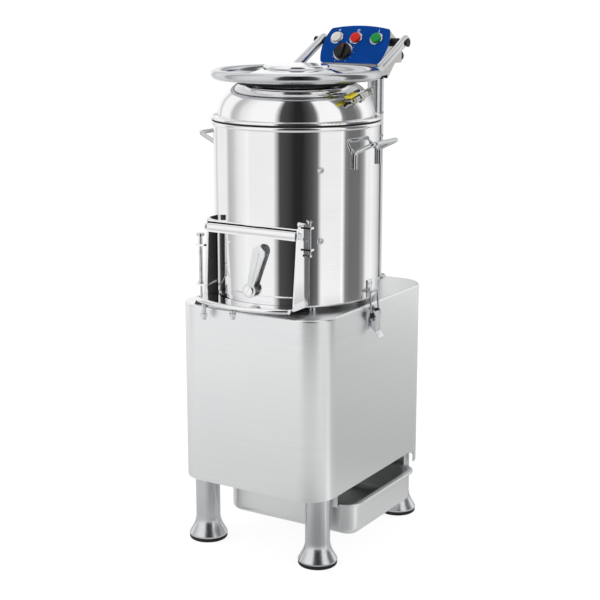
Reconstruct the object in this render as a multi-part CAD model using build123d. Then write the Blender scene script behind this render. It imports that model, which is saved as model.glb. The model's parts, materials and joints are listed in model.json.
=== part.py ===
from build123d import *
import math
import os

# Electric potato peeler on four legs. Millimetres, +Z up, the front with the chute towards -Y.
# Every piece is drawn round the middle of the cabinet, with the floor at Z = 0, and the whole
# machine is moved at the end so that its origin lies on the floor under the middle of its box.

# Clearances shared by all pieces
cut_past = 2.0
seat_gap = 0.2
pin_gap = 0.05
turn_gap = 0.3
quarter_turn = 90.0
eighth_turn = quarter_turn / 2
arc_middle_share = math.sqrt(0.5)

# Cabinet, a folded stainless box with rounded upright corners
cabinet_width = 346.0
cabinet_depth = 456.0
cabinet_bottom = 147.0
cabinet_height = 370.0
cabinet_corner_r = 58.0
cabinet_sheet = 1.5
cabinet_bend_r = 4.0
skirt_drop = 27.0
base_plate_t = 2.0
cabinet_top = cabinet_bottom + cabinet_height
cabinet_side = cabinet_width / 2
cabinet_back = cabinet_depth / 2
cabinet_ceiling = cabinet_top - cabinet_sheet
base_plate_top = cabinet_bottom + base_plate_t

# Service opening in the back and its louvred cover
service_width = 190.0
service_height = 290.0
service_sill = 45.0
cover_lap = 14.0
cover_t = 1.5
cover_corner_r = 10.0
louvre_count = 9
louvre_width = 110.0
louvre_height = 5.0
louvre_pitch = 18.0
louvre_depth = 4.0
louvre_round_share = 0.7

# Legs of round tube with a bell foot and a rubber pad
leg_side_inset = 38.0
leg_end_inset = 56.0
leg_x = cabinet_side - leg_side_inset
leg_y = cabinet_back - leg_end_inset
leg_d = 50.8
leg_wall = 1.5
foot_flare_z = 52.0
foot_r = 40.0
foot_edge_z = 12.0
foot_edge_lean = 0.5
pad_t = 9.0
pad_bevel = 4.0

# Drain pan that slides out to the right on two channels between the legs
pan_length = 325.0
pan_width = 282.0
pan_depth = 70.0
pan_rim_z = 122.3
pan_rim = 10.0
pan_sheet = 1.5
pan_bead = 4.0
pan_corner_r = 38.0
pan_bottom_r = 14.0
pan_pulled_out = 30.0
runner_gap = 2.5
runner_sheet = 1.5
runner_lip = 10.5
runner_end = 8.0
pan_home_x = cabinet_side - pan_length / 2
pan_x = pan_home_x + pan_pulled_out
runner_y = pan_width / 2 + runner_gap
runner_lip_top = pan_rim_z - pan_bead - turn_gap

# Peeling drum, a stainless cylinder set back on the cabinet
drum_y = -35.0
drum_side_margin = 5.0
drum_wall = 2.0
drum_lift = 9.0
drum_height = 354.5
drum_floor_t = 3.0
drum_floor_bend = 5.0
drum_bead_proud = 5.0
drum_collar_r = 32.0
drum_collar_h = 15.0
foot_stud_r = 8.0
foot_stud_circle_share = 0.83
foot_stud_count = 4
drum_bottom = cabinet_top + drum_lift
drum_top = drum_bottom + drum_height
drum_r = cabinet_side - drum_side_margin
drum_front_y = drum_y - drum_r
drum_inner_r = drum_r - drum_wall
drum_bead_r = drum_r + drum_bead_proud
drum_bead_h = 2 * drum_bead_proud
drum_floor_top = drum_bottom + drum_floor_t

# Discharge opening in the front of the drum
outlet_half = 98.0
outlet_bottom = 549.0
outlet_corner_r = 8.0

# Abrasive lining of the wall
liner_t = 5.8
liner_bottom = 546.0
liner_top_gap = 16.0
liner_r = drum_inner_r - seat_gap

# Rotating disc with waves on top and sweeping fins below
disc_wall_gap = 6.0
disc_t = 8.0
disc_bottom = 547.0
disc_coat_t = 5.0
wave_count = 3
wave_r = 26.0
wave_sunk = 13.0
wave_start_r = 30.0
fin_count = 4
fin_t = 6.0
fin_h = 12.0
slinger_gap = 4.0
slinger_t = 4.0
slinger_h = 14.0
disc_top = disc_bottom + disc_t
coat_top = disc_top + disc_coat_t
disc_r = liner_r - liner_t - disc_wall_gap

# Drive shaft, its bearing housing and the belt drive inside the cabinet
shaft_r = 12.0
shaft_cap_r = 23.0
shaft_cap_h = 12.0
hub_wall = 16.0
hub_flange_r = 60.0
hub_flange_t = 8.0
hub_drop = 66.0
hub_rise = 26.0
pulley_r = 70.0
motor_pulley_r = 35.0
pulley_t = 16.0
pulley_z = 425.0
groove_depth = 9.0
groove_edge = 2.5
belt_t = 6.0
belt_sunk = 1.5
motor_y = 105.0
motor_r = 62.0
motor_height = 175.0
motor_shaft_r = 7.0
motor_bell_h = 22.0
motor_fin_count = 20
motor_fin_depth = 4.0
motor_fin_t = 5.0
mount_width = 190.0
mount_depth = 150.0
mount_t = 4.0
mount_gap = 16.0
mount_neck_r = 30.0
mount_column_r = 6.0
mount_column_inset = 14.0

# Drain duct from the drum floor to the pan
duct_x = -75.0
duct_pan_inset = 36.0
duct_y = duct_pan_inset - pan_width / 2
duct_r = 25.0
duct_wall = 1.5
duct_drop = 9.0

# Dome over the drum, open in the middle for loading
seal_t = 3.0
seal_inset = 1.5
dome_mouth_r = 95.0
dome_wall = 2.0
dome_inset = 9.0
dome_rise = 72.0
dome_flange_t = 2.5
dome_bead_past = 0.5
dome_bead_w = 6.0
dome_base = drum_top + seal_t
dome_spring = dome_base + dome_flange_t
dome_top = dome_spring + dome_rise
dome_wall_r = drum_r - dome_inset
dome_shoulder = dome_wall_r - dome_mouth_r
dome_bead_r = drum_bead_r + dome_bead_past
dome_bead_h = dome_bead_w / 2
dome_gasket_in = 111.0
dome_gasket_out = 119.0
dome_gasket_proud = 0.8

# Lid, a dished plate in a ring of tube with two arms to the back
lid_ring_inset = 6.0
lid_ring_r = drum_r - lid_ring_inset
lid_tube_r = 10.0
lid_tube_wall = 1.5
lid_ring_z = 970.8
lid_sheet = 2.0
lid_flat_r = 95.0
lid_step_r = 72.0
lid_step_rise = 7.2
lid_disc_r = 66.5
lid_disc_rise = 10.0
lid_disc_bend = 5.0
plug_r = 88.0
plug_depth = 24.0
plug_bend = 5.0
lid_gasket_in = 97.0
lid_gasket_out = 107.0
arm_x = 101.0
arm_bend_y = 120.0
arm_bend_r = 45.0
arm_rise = 25.9
arm_past_pivot = 10.0
pivot_y = 230.0
pivot_pin_r = 6.0
pivot_stub_r = 9.0
pivot_head_t = 3.0
lid_plate_z = lid_ring_z - lid_sheet / 2
pivot_z = lid_ring_z + (pivot_y - arm_bend_y) * math.tan(math.radians(arm_rise))

# Discharge chute, fixed to the drum
outlet_clear = 6.5
cheek_t = 3.0
cheek_top = 694.0
cheek_lean = 15.0
cheek_bottom = 530.0
cheek_round = 13.0
chute_floor_top = 536.0
chute_floor_t = 2.0
lip_reach = 59.0
lip_bead_r = 5.0
lip_top = 538.0
gusset_setback = 2.0
gusset_t = 2.5
cheek_in = outlet_half + outlet_clear
cheek_out = cheek_in + cheek_t
cheek_front_top = drum_front_y
cheek_front_bottom = drum_front_y - cheek_lean
lip_r = drum_r + lip_reach
gusset_front = drum_front_y + gusset_setback

# Discharge door, hung from a knuckle tube between the cheeks, and its turning handle
door_pivot_in = 5.0
door_pivot_z = 675.0
knuckle_r = 9.0
door_rod_r = 4.0
door_rod_head_r = 7.0
door_rod_head_t = 3.0
door_side_gap = 1.5
door_wrap = 1.0
door_t = 2.0
door_bottom = 541.0
door_ledge_t = 3.0
outlet_top_gap = 2.0
handle_x = 5.0
handle_rise = 19.0
handle_boss_r = 15.0
handle_boss_len = 13.5
handle_gap = 0.4
handle_pin_r = 4.0
handle_screw_r = 9.0
handle_screw_t = 2.5
handle_slot = 3.0
handle_length = 94.0
handle_tip_w = 28.0
handle_neck_w = 16.0
handle_strap_t = 4.0
handle_lean = 16.0
handle_crease_w = 5.0
door_pivot_y = drum_front_y + door_pivot_in
handle_z = door_bottom + handle_rise
outlet_top = door_pivot_z + knuckle_r + outlet_top_gap
door_half = cheek_in - door_side_gap

# Locking pin beside the left cheek and the short pin beside the right one
lock_out = 12.0
lock_ahead = 3.0
lock_cap_r = 8.5
lock_cap_t = 6.0
lock_shaft_r = 4.0
lock_rod_r = 2.5
lock_collar_r = 6.5
lock_collar_t = 4.0
lock_top = 662.0
lock_lug_low = 555.0
lock_lug_high = 636.0
lock_lug_t = 4.0
lock_lug_w = 16.0
lock_tip_in = 12.0
lock_socket_w = 20.0
lock_socket_h = 13.0
hinge_pin_out = 5.5
hinge_pin_back = 35.0
hinge_pin_r = 3.0
hinge_pin_low = 634.0
hinge_pin_high = 697.0
hinge_pin_head_r = 5.0
hinge_pin_head_t = 4.0
hinge_lug_w = 12.0
hinge_lug_t = 4.0
hinge_lug_inset = 8.0
chute_stud_x = (-5.0, -86.0)
chute_stud_r = 4.5
chute_stud_length = (18.0, 32.0)
chute_nut_r = 7.5
chute_nut_t = 6.0
lock_x = -cheek_out - lock_out
lock_y = drum_front_y - lock_ahead
hinge_pin_x = cheek_out + hinge_pin_out
hinge_pin_y = drum_front_y + hinge_pin_back

# Carrying handles of bent rod on the sides of the drum
grip_rod_r = 4.5
grip_half = 48.5
grip_low = 795.0
grip_bend_z = 827.0
grip_bar_z = 846.0
grip_reach = 37.0
grip_bar_x = drum_r + grip_reach
grip_bend_r = 9.0

# Toggle latches that hold the drum down on both sides
latch_y = -28.0
latch_plate_t = 2.0
latch_plate_w = 30.0
latch_plate_low = 466.0
latch_plate_high = 512.0
latch_pivot_out = 10.0
latch_pivot_z = 500.0
latch_pin_r = 2.0
latch_ear_in = 10.6
latch_ear_t = 2.0
latch_ear_r = 7.0
latch_lever_half = 10.0
latch_lever_sheet = 1.8
latch_lever_top = 504.0
latch_lever_low = 462.0
latch_lever_front = 6.5
latch_lever_back = 3.0
latch_tip_out = 9.0
latch_tip_drop = 11.0
bail_drop = 15.0
bail_half = 15.0
bail_wire_r = 2.0
bail_bar_out = 4.5
keeper_w = 20.0
keeper_t = 2.0
keeper_low = 530.0
keeper_high = 566.0
keeper_hook_z = 541.0
keeper_hook_out = 13.0
bail_rest_gap = 0.5
bail_bar_z = keeper_hook_z + keeper_t + bail_rest_gap + bail_wire_r
latch_pivot_x = cabinet_side + latch_pivot_out
bail_bar_x = latch_pivot_x - bail_bar_out

# Control head on two posts behind the drum
post_x = 48.0
post_y = 209.0
post_r = 17.5
post_wall = 1.5
post_flange_r = 27.0
post_flange_t = 3.0
bracket_half = 66.0
bracket_sheet = 2.0
bracket_bottom = 948.0
bracket_front = 178.0
bracket_front_z = 957.0
bracket_toe = 191.0
bracket_heel = 229.0
bracket_back = 262.0
bracket_corner = 11.0
housing_half = 69.0
housing_sheet = 2.0
housing_bottom = 979.0
housing_top_back_y = 266.0
housing_top_back_z = 1027.0
housing_back = 286.0
housing_back_top = 1004.0
housing_bend_r = 4.0
panel_foot_y = 176.0
panel_foot_z = 981.0
panel_tilt = 36.3
panel_t = 3.0
panel_bottom_half = 70.0
panel_mid_half = 80.0
panel_widest_share = 0.45
panel_top_half = 71.0
panel_length = 87.0
panel_crown = 8.0
panel_round = 7.0

# Buttons, lamp and timer on the panel, placed along it from its foot
button_rise = 62.0
button_x_share = {"pilot_lamp": -0.625, "red_button": -0.04, "green_button": 0.58}
bezel_r = 15.0
bezel_h = 3.0
bezel_edge = 1.0
bezel_hole_r = 11.5
button_r = 11.2
button_h = 7.0
button_dome = 1.6
button_stem_r = 5.0
button_stem = 14.0
button_travel = 3.0
timer_x = -23.0
timer_rise = 27.0
timer_ring_r = 22.0
timer_ring_h = 2.0
timer_ring_hole_r = 6.0
timer_knob_r = 19.0
timer_knob_h = 9.5
timer_knob_taper = 2.0
timer_grip_w = 9.0
timer_grip_h = 4.5
timer_shaft_r = 3.0
timer_shaft = 12.0

# Cable gland on the back of the control housing
gland_x = 50.0
gland_hex = 24.0
gland_hex_t = 6.0
gland_nut_r = 11.0
gland_length = 28.0
gland_bore_r = 4.5

# Water inlet valve on the right side of the dome
valve_foot_out = 4.0
valve_foot_turn = -15.64
valve_foot_rise = 40.3
valve_tail_in = 1.71
valve_tail_turn = 1.2
valve_tail_rise = 51.26
valve_r = 7.5
valve_hex = 18.0
valve_hex_len_share = 0.3
valve_nipple_r = 8.0
valve_stem_r = 4.0
valve_stem_share = 0.52
valve_stem_top = 11.0
valve_hose_r = 6.5
valve_hose_len = 20.0
valve_lever_w = 14.0
valve_lever_t = 2.5
valve_lever_len = 34.0
valve_lever_tail = 8.0
valve_nut_h = 2.5


def between(x0, x1, y0, y1, z0, z1):
    """A block between two corners."""
    middle = Pos((x0 + x1) / 2, (y0 + y1) / 2, (z0 + z1) / 2)
    return middle * Box(abs(x1 - x0), abs(y1 - y0), abs(z1 - z0))


def disc(radius, low, high, x=0.0, y=0.0):
    """An upright solid cylinder."""
    return Pos(x, y, (low + high) / 2) * Cylinder(radius, high - low)


def pipe(outer, inner, low, high, x=0.0, y=0.0):
    """An upright tube with both ends open."""
    return disc(outer, low, high, x, y) - disc(inner, low - cut_past, high + cut_past, x, y)


def rod(radius, start, end):
    """A round bar from one point to another."""
    run = Vector(*end) - Vector(*start)
    return extrude(Plane(origin=start, z_dir=run) * Circle(radius), run.length)


def bent_rod(points, bend, radius):
    """A round bar along straight runs with rounded bends."""
    path = FilletPolyline(*points, radius=bend)
    return sweep(Plane(origin=path @ 0, z_dir=path % 0) * Circle(radius), path=path)


def turned(outline, y=0.0):
    """A revolved piece from an outline of radius and height."""
    return Pos(0, y, 0) * revolve(Plane.XZ * outline, Axis.Z)


def outline(*curves):
    """A closed face from lines and arcs that follow each other."""
    edges = []
    for curve in curves:
        edges += curve.edges()
    return make_face(edges)


def side_profile(face, half):
    """A piece with one outline across the machine, drawn in depth and height."""
    return extrude(Plane.YZ * face, half, both=True)


def mirrored(shape):
    """The same piece on the other side of the machine."""
    return mirror(shape, about=Plane.YZ)


def upright_plate(width, depth, corner, low, high, x=0.0, y=0.0):
    """A block with rounded upright corners."""
    return Pos(x, y, low) * extrude(RectangleRounded(width, depth, corner), high - low)


def cabinet_shell():
    """The box of the cabinet, open below, with a deeper skirt at the back."""
    low = cabinet_bottom - skirt_drop
    outer = upright_plate(cabinet_width, cabinet_depth, cabinet_corner_r, low, cabinet_top)
    outer = fillet(outer.edges().group_by(Axis.Z)[-1], cabinet_bend_r)
    inner = upright_plate(cabinet_width - 2 * cabinet_sheet, cabinet_depth - 2 * cabinet_sheet,
                          cabinet_corner_r - cabinet_sheet, low - cut_past, cabinet_ceiling)
    shell = outer - inner
    shell -= between(-cabinet_width, cabinet_width, -cabinet_depth, leg_y, low - cut_past, cabinet_bottom)
    sill = cabinet_bottom + service_sill
    shell -= between(-service_width / 2, service_width / 2, cabinet_back - 2 * cabinet_sheet,
                     cabinet_back + cut_past, sill, sill + service_height)
    top_cut = (cabinet_ceiling - cut_past, cabinet_top + cut_past)
    shell -= disc(shaft_r + hub_wall + seat_gap, *top_cut, 0, drum_y)
    shell -= disc(duct_r + seat_gap, *top_cut, duct_x, duct_y)
    shell -= disc(lock_rod_r + turn_gap, *top_cut, lock_x, lock_y)
    return shell


def cabinet_base_plate():
    """The sheet that closes the cabinet below, with the legs on it."""
    inset = cabinet_sheet + seat_gap
    plate = upright_plate(cabinet_width - 2 * inset, cabinet_depth - 2 * inset,
                          cabinet_corner_r - inset, cabinet_bottom, base_plate_top)
    cut = (cabinet_bottom - cut_past, base_plate_top + cut_past)
    return plate - disc(duct_r + seat_gap, *cut, duct_x, duct_y)


def cabinet_rear_cover():
    """The louvred plate over the service opening."""
    width = service_width + 2 * cover_lap
    low = cabinet_bottom + service_sill - cover_lap
    height = service_height + 2 * cover_lap
    middle = Plane(origin=(0, cabinet_back, low + height / 2), x_dir=(-1, 0, 0), z_dir=(0, 1, 0))
    cover = extrude(middle * RectangleRounded(width, height, cover_corner_r), cover_t)
    hood = outline(Line((0, 0), (louvre_depth, 0)),
                   ThreePointArc((louvre_depth, 0), (louvre_depth * louvre_round_share,
                                                    louvre_height * louvre_round_share), (0, louvre_height)),
                   Line((0, louvre_height), (0, 0)))
    for row in range(louvre_count):
        foot = low + height / 2 + (row - (louvre_count - 1) / 2) * louvre_pitch
        corner = (-louvre_width / 2, cabinet_back + cover_t, foot)
        place = Plane(origin=corner, x_dir=(0, 1, 0), z_dir=(1, 0, 0))
        cover += extrude(place * hood, louvre_width)
        cover -= between(-louvre_width / 2 + louvre_height, louvre_width / 2 - louvre_height,
                         cabinet_back - cut_past, cabinet_back + cover_t + louvre_depth / 2,
                         foot - cut_past, foot + louvre_height / 2)
    return cover


def leg(x, y):
    """A leg tube that flares into a bell foot."""
    tube_r = leg_d / 2
    inner_r = tube_r - leg_wall
    bell = Spline((tube_r, foot_flare_z), (foot_r, foot_edge_z), tangents=[(0, -1), (foot_edge_lean, -1)])
    face = outline(Line((tube_r, cabinet_bottom), (tube_r, foot_flare_z)), bell,
                   Line((foot_r, foot_edge_z), (foot_r, pad_t)), Line((foot_r, pad_t), (0, pad_t)),
                   Line((0, pad_t), (0, foot_edge_z)), Line((0, foot_edge_z), (inner_r, foot_edge_z)),
                   Line((inner_r, foot_edge_z), (inner_r, cabinet_bottom)),
                   Line((inner_r, cabinet_bottom), (tube_r, cabinet_bottom)))
    return Pos(x, y, 0) * revolve(Plane.XZ * face, Axis.Z)


def leg_pad(x, y):
    """The rubber pad under a foot."""
    pad = disc(foot_r, 0, pad_t, x, y)
    return fillet(pad.edges().group_by(Axis.Z)[0], pad_bevel)


def pan_runners():
    """Two channels under the cabinet that carry the rim of the pan."""
    start = -cabinet_side + runner_end
    end = cabinet_side - runner_end
    low = runner_lip_top - runner_sheet
    web = between(start, end, runner_y, runner_y + runner_sheet, low, cabinet_bottom)
    lip = between(start, end, runner_y - runner_lip, runner_y, low, runner_lip_top)
    flange = between(start, end, runner_y - runner_lip, runner_y,
                     cabinet_bottom - runner_sheet, cabinet_bottom)
    runner = web + lip + flange
    return [runner, mirror(runner, about=Plane.XZ)]


def drain_pan():
    """The pressed pan with a flat rim and a beaded edge."""
    body_l = pan_length - 2 * pan_rim
    body_w = pan_width - 2 * pan_rim
    body_corner = pan_corner_r - pan_rim
    low = pan_rim_z - pan_depth
    body = upright_plate(body_l, body_w, body_corner, low, pan_rim_z, pan_x)
    body = fillet(body.edges().group_by(Axis.Z)[0], pan_bottom_r)
    hollow = upright_plate(body_l - 2 * pan_sheet, body_w - 2 * pan_sheet, body_corner - pan_sheet,
                           low + pan_sheet, pan_rim_z + cut_past, pan_x)
    hollow = fillet(hollow.edges().group_by(Axis.Z)[0], pan_bottom_r - pan_sheet)
    rim = upright_plate(pan_length, pan_width, pan_corner_r, pan_rim_z - pan_bead, pan_rim_z, pan_x)
    rim = fillet(rim.edges().group_by(Axis.Z)[-1], pan_sheet)
    under = upright_plate(pan_length - 2 * pan_bead, pan_width - 2 * pan_bead, pan_corner_r - pan_bead,
                          pan_rim_z - pan_bead - cut_past, pan_rim_z - pan_sheet, pan_x)
    return (rim - under) + body - hollow


def outlet_cut():
    """The window that the potatoes leave by, cut through the front of the drum."""
    height = outlet_top - outlet_bottom
    middle = (0, drum_y - drum_bead_r, outlet_bottom + height / 2)
    front = Plane(origin=middle, x_dir=(1, 0, 0), z_dir=(0, -1, 0))
    return extrude(front * RectangleRounded(2 * outlet_half, height, outlet_corner_r), -drum_r)


def drum_envelope(radius):
    """A solid cylinder on the drum axis that trims what is welded to the drum."""
    return disc(radius, cabinet_bottom, lid_ring_z, 0, drum_y)


def drum_body():
    """The wall and floor of the drum as one shape, parted below at the inner face of the wall."""
    bead_low = drum_top - drum_bead_h
    collar_r = drum_collar_r + drum_wall
    collar_top = drum_bottom + drum_collar_h
    bend = drum_floor_bend
    turn = bend * (1 - arc_middle_share)
    face = outline(Line((drum_collar_r, drum_bottom), (drum_r - bend, drum_bottom)),
                   ThreePointArc((drum_r - bend, drum_bottom), (drum_r - turn, drum_bottom + turn),
                                 (drum_r, drum_bottom + bend)),
                   Line((drum_r, drum_bottom + bend), (drum_r, bead_low)),
                   ThreePointArc((drum_r, bead_low), (drum_bead_r, drum_top - drum_bead_h / 2),
                                 (drum_r, drum_top)),
                   Line((drum_r, drum_top), (drum_inner_r, drum_top)),
                   Line((drum_inner_r, drum_top), (drum_inner_r, drum_floor_top)),
                   Line((drum_inner_r, drum_floor_top), (collar_r, drum_floor_top)),
                   Line((collar_r, drum_floor_top), (collar_r, collar_top)),
                   Line((collar_r, collar_top), (drum_collar_r, collar_top)),
                   Line((drum_collar_r, collar_top), (drum_collar_r, drum_bottom)))
    return turned(face, drum_y)


def drum_core():
    """All that lies inside the drum wall's inner face."""
    return disc(drum_inner_r, drum_bottom - cut_past, drum_top + cut_past, 0, drum_y)


def drum_shell():
    """The drum wall with its outlet window and beaded top edge."""
    return drum_body() - drum_core() - outlet_cut()


def drum_floor():
    """The floor plate welded into the wall, with a collar round the shaft and a hole over the drain duct."""
    hole = disc(duct_r - duct_wall, drum_bottom - cut_past, drum_floor_top + cut_past, duct_x, duct_y)
    return (drum_body() & drum_core()) - hole


def drum_feet():
    """Four studs that the drum stands on."""
    circle = drum_r * foot_stud_circle_share
    stud = disc(foot_stud_r, cabinet_top, drum_bottom)
    places = PolarLocations(circle, foot_stud_count, eighth_turn)
    return [Pos(0, drum_y, 0) * place * stud for place in places]


def abrasive_liner():
    """The gritty lining of the drum wall."""
    return pipe(liner_r, liner_r - liner_t, liner_bottom, drum_top - liner_top_gap, 0, drum_y) - outlet_cut()


def rim_seal():
    """The rubber ring between the drum and the dome."""
    return pipe(drum_bead_r - seal_inset, drum_inner_r, drum_top, dome_base, 0, drum_y)


def dome_curve(inset):
    """The quarter ellipse from the mouth of the dome down to its flange."""
    return EllipticalCenterArc((dome_mouth_r, dome_spring), dome_shoulder - inset, dome_rise - inset,
                              arc_size=quarter_turn)


def dome_envelope():
    """The solid under the outside of the dome, used to trim what sits on it."""
    face = outline(dome_curve(0), Line((dome_mouth_r, dome_top), (0, dome_top)),
                   Line((0, dome_top), (0, dome_spring)), Line((0, dome_spring), (dome_wall_r, dome_spring)))
    return turned(face, drum_y)


def dome_cover():
    """The spun dome with its beaded flange and open mouth."""
    inner_wall_r = dome_wall_r - dome_wall
    bead_in = dome_bead_r - dome_bead_w
    face = outline(dome_curve(0), Line((dome_mouth_r, dome_top), (dome_mouth_r, dome_top - dome_wall)),
                   dome_curve(dome_wall), Line((inner_wall_r, dome_spring), (inner_wall_r, dome_base)),
                   Line((inner_wall_r, dome_base), (dome_bead_r, dome_base)),
                   Line((dome_bead_r, dome_base), (dome_bead_r, dome_spring)),
                   ThreePointArc((dome_bead_r, dome_spring),
                                 (dome_bead_r - dome_bead_w / 2, dome_spring + dome_bead_h),
                                 (bead_in, dome_spring)),
                   Line((bead_in, dome_spring), (dome_wall_r, dome_spring)))
    return turned(face, drum_y)


def loading_gasket():
    """The dark ring that lies on the dome round the mouth."""
    low = dome_top - dome_rise / 2
    ring = pipe(dome_gasket_out, dome_gasket_in, low, dome_top + dome_gasket_proud - dome_wall, 0, drum_y)
    return ring - dome_envelope()


def lid_frame():
    """The tube ring of the lid with the two arms that carry it."""
    arm_root = drum_y + math.sqrt(lid_ring_r ** 2 - arm_x ** 2)
    slope = math.tan(math.radians(arm_rise))
    end_y = pivot_y + arm_past_pivot
    inner_end_y = pivot_y - 2 * lid_tube_r
    start = (arm_x, arm_root, lid_ring_z)
    bend = (arm_x, arm_bend_y, lid_ring_z)
    end = (arm_x, end_y, lid_ring_z + (end_y - arm_bend_y) * slope)
    inner_end = (arm_x, inner_end_y, lid_ring_z + (inner_end_y - arm_bend_y) * slope)
    arm = bent_rod([start, bend, end], arm_bend_r, lid_tube_r) + Pos(*end) * Sphere(lid_tube_r)
    bore = bent_rod([start, bend, inner_end], arm_bend_r, lid_tube_r - lid_tube_wall)
    ring = Pos(0, drum_y, lid_ring_z) * Torus(lid_ring_r, lid_tube_r)
    ring_bore = Pos(0, drum_y, lid_ring_z) * Torus(lid_ring_r, lid_tube_r - lid_tube_wall)
    frame = ring + arm + mirrored(arm) - ring_bore - bore - mirrored(bore)
    reach = arm_x + lid_tube_r + cut_past
    hole = rod(pivot_pin_r + pin_gap, (-reach, pivot_y, pivot_z), (reach, pivot_y, pivot_z))
    return frame - hole


def lid_plate():
    """The dished plate of the lid, its raised disc and the closed plug below."""
    top = lid_plate_z + lid_sheet
    edge = lid_ring_r - lid_tube_r - seat_gap
    shoulder = top + lid_step_rise
    crest = shoulder + lid_disc_rise
    bend = lid_disc_bend
    turn = bend * (1 - arc_middle_share)
    low = lid_plate_z - plug_depth
    corner = plug_bend * (1 - arc_middle_share)
    face = outline(Line((0, crest), (lid_disc_r - bend, crest)),
                   ThreePointArc((lid_disc_r - bend, crest), (lid_disc_r - turn, crest - turn),
                                 (lid_disc_r, crest - bend)),
                   Line((lid_disc_r, crest - bend), (lid_disc_r, shoulder)),
                   Line((lid_disc_r, shoulder), (lid_step_r, shoulder)),
                   Line((lid_step_r, shoulder), (lid_flat_r, top)), Line((lid_flat_r, top), (edge, top)),
                   Line((edge, top), (edge, lid_plate_z)), Line((edge, lid_plate_z), (plug_r, lid_plate_z)),
                   Line((plug_r, lid_plate_z), (plug_r, low + plug_bend)),
                   ThreePointArc((plug_r, low + plug_bend), (plug_r - corner, low + corner),
                                 (plug_r - plug_bend, low)),
                   Line((plug_r - plug_bend, low), (0, low)), Line((0, low), (0, crest)))
    hollow = outline(Polyline((0, low + lid_sheet), (plug_r - plug_bend, low + lid_sheet),
                              (plug_r - lid_sheet, low + plug_bend), (plug_r - lid_sheet, lid_plate_z),
                              (lid_step_r, shoulder - lid_sheet),
                              (lid_disc_r - lid_sheet, shoulder - lid_sheet),
                              (lid_disc_r - lid_sheet, crest - bend), (lid_disc_r - bend, crest - lid_sheet),
                              (0, crest - lid_sheet), (0, low + lid_sheet)))
    return turned(face, drum_y) - turned(hollow, drum_y)


def lid_gasket():
    """The rubber ring under the lid that closes on the dome."""
    return pipe(lid_gasket_out, lid_gasket_in, dome_top + turn_gap, lid_plate_z, 0, drum_y)


def lid_pivot_pins():
    """The stubs and pins on the control housing that the lid arms turn on."""
    seat = arm_x - lid_tube_r - turn_gap
    tip = arm_x + lid_tube_r + turn_gap
    stub = rod(pivot_stub_r, (housing_half, pivot_y, pivot_z), (seat, pivot_y, pivot_z))
    pin = rod(pivot_pin_r, (seat, pivot_y, pivot_z), (tip, pivot_y, pivot_z))
    head = rod(pivot_stub_r, (tip, pivot_y, pivot_z), (tip + pivot_head_t, pivot_y, pivot_z))
    piece = stub + pin + head
    return [piece, mirrored(piece)]


def chute_frame():
    """The two cheeks, the floor with its rolled lip and the corner gussets of the chute."""
    top_back = drum_y - drum_r / 2
    cheek = make_face(Polyline((top_back, cheek_bottom), (top_back, cheek_top), (cheek_front_top, cheek_top),
                               (cheek_front_top, door_pivot_z), (cheek_front_bottom, chute_floor_top),
                               (cheek_front_bottom, cheek_bottom), close=True))
    corner = cheek.vertices().sort_by(Axis.Y)[-2:].sort_by(Axis.X)[0]
    cheek = fillet(corner, cheek_round)
    right = Pos(cheek_in + cheek_t / 2, 0, 0) * extrude(Plane.YZ * cheek, cheek_t / 2, both=True)
    frame = right + mirrored(right)
    floor_low = chute_floor_top - chute_floor_t
    front = between(-cheek_out, cheek_out, drum_y - lip_r - lip_bead_r, top_back, cheek_bottom, lip_top)
    frame += disc(lip_r, floor_low, chute_floor_top, 0, drum_y) & front
    lip_zone = between(-cheek_out, cheek_out, drum_y - lip_r - 2 * lip_bead_r, drum_y - drum_r,
                       cheek_bottom - lip_bead_r, lip_top + cut_past)
    frame += Pos(0, drum_y, lip_top - lip_bead_r) * Torus(lip_r, lip_bead_r) & lip_zone
    gusset = between(-cheek_in, cheek_in, gusset_front, top_back, outlet_top, outlet_top + gusset_t)
    frame += gusset
    for low in (lock_lug_low, lock_lug_high):
        frame += between(lock_x - lock_lug_w / 2, -cheek_out, lock_y - lock_lug_w / 2,
                         lock_y + lock_lug_w / 2, low, low + lock_lug_t)
    for low in (hinge_pin_low + hinge_lug_inset, hinge_pin_high - hinge_lug_inset - hinge_lug_t):
        frame += between(cheek_out, hinge_pin_x + hinge_lug_w / 2, hinge_pin_y - hinge_lug_w / 2,
                         hinge_pin_y + hinge_lug_w / 2, low, low + hinge_lug_t)
    frame -= drum_envelope(drum_r + seat_gap)
    frame -= rod(door_rod_r + pin_gap, (-cheek_out - cut_past, door_pivot_y, door_pivot_z),
                 (cheek_out + cut_past, door_pivot_y, door_pivot_z))
    frame -= disc(lock_shaft_r + turn_gap, lock_lug_high - cut_past, lock_top, lock_x, lock_y)
    frame -= disc(lock_rod_r + turn_gap, cheek_bottom, lock_lug_high, lock_x, lock_y)
    return frame - disc(hinge_pin_r + pin_gap, hinge_pin_low, hinge_pin_high, hinge_pin_x, hinge_pin_y)


def door_hinge_rod():
    """The rod across the chute that the door hangs on."""
    tip = cheek_out + door_rod_head_t
    piece = rod(door_rod_r, (-tip, door_pivot_y, door_pivot_z), (tip, door_pivot_y, door_pivot_z))
    for side in (-1, 1):
        piece += rod(door_rod_head_r, (side * cheek_out, door_pivot_y, door_pivot_z),
                     (side * tip, door_pivot_y, door_pivot_z))
    return piece


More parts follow.
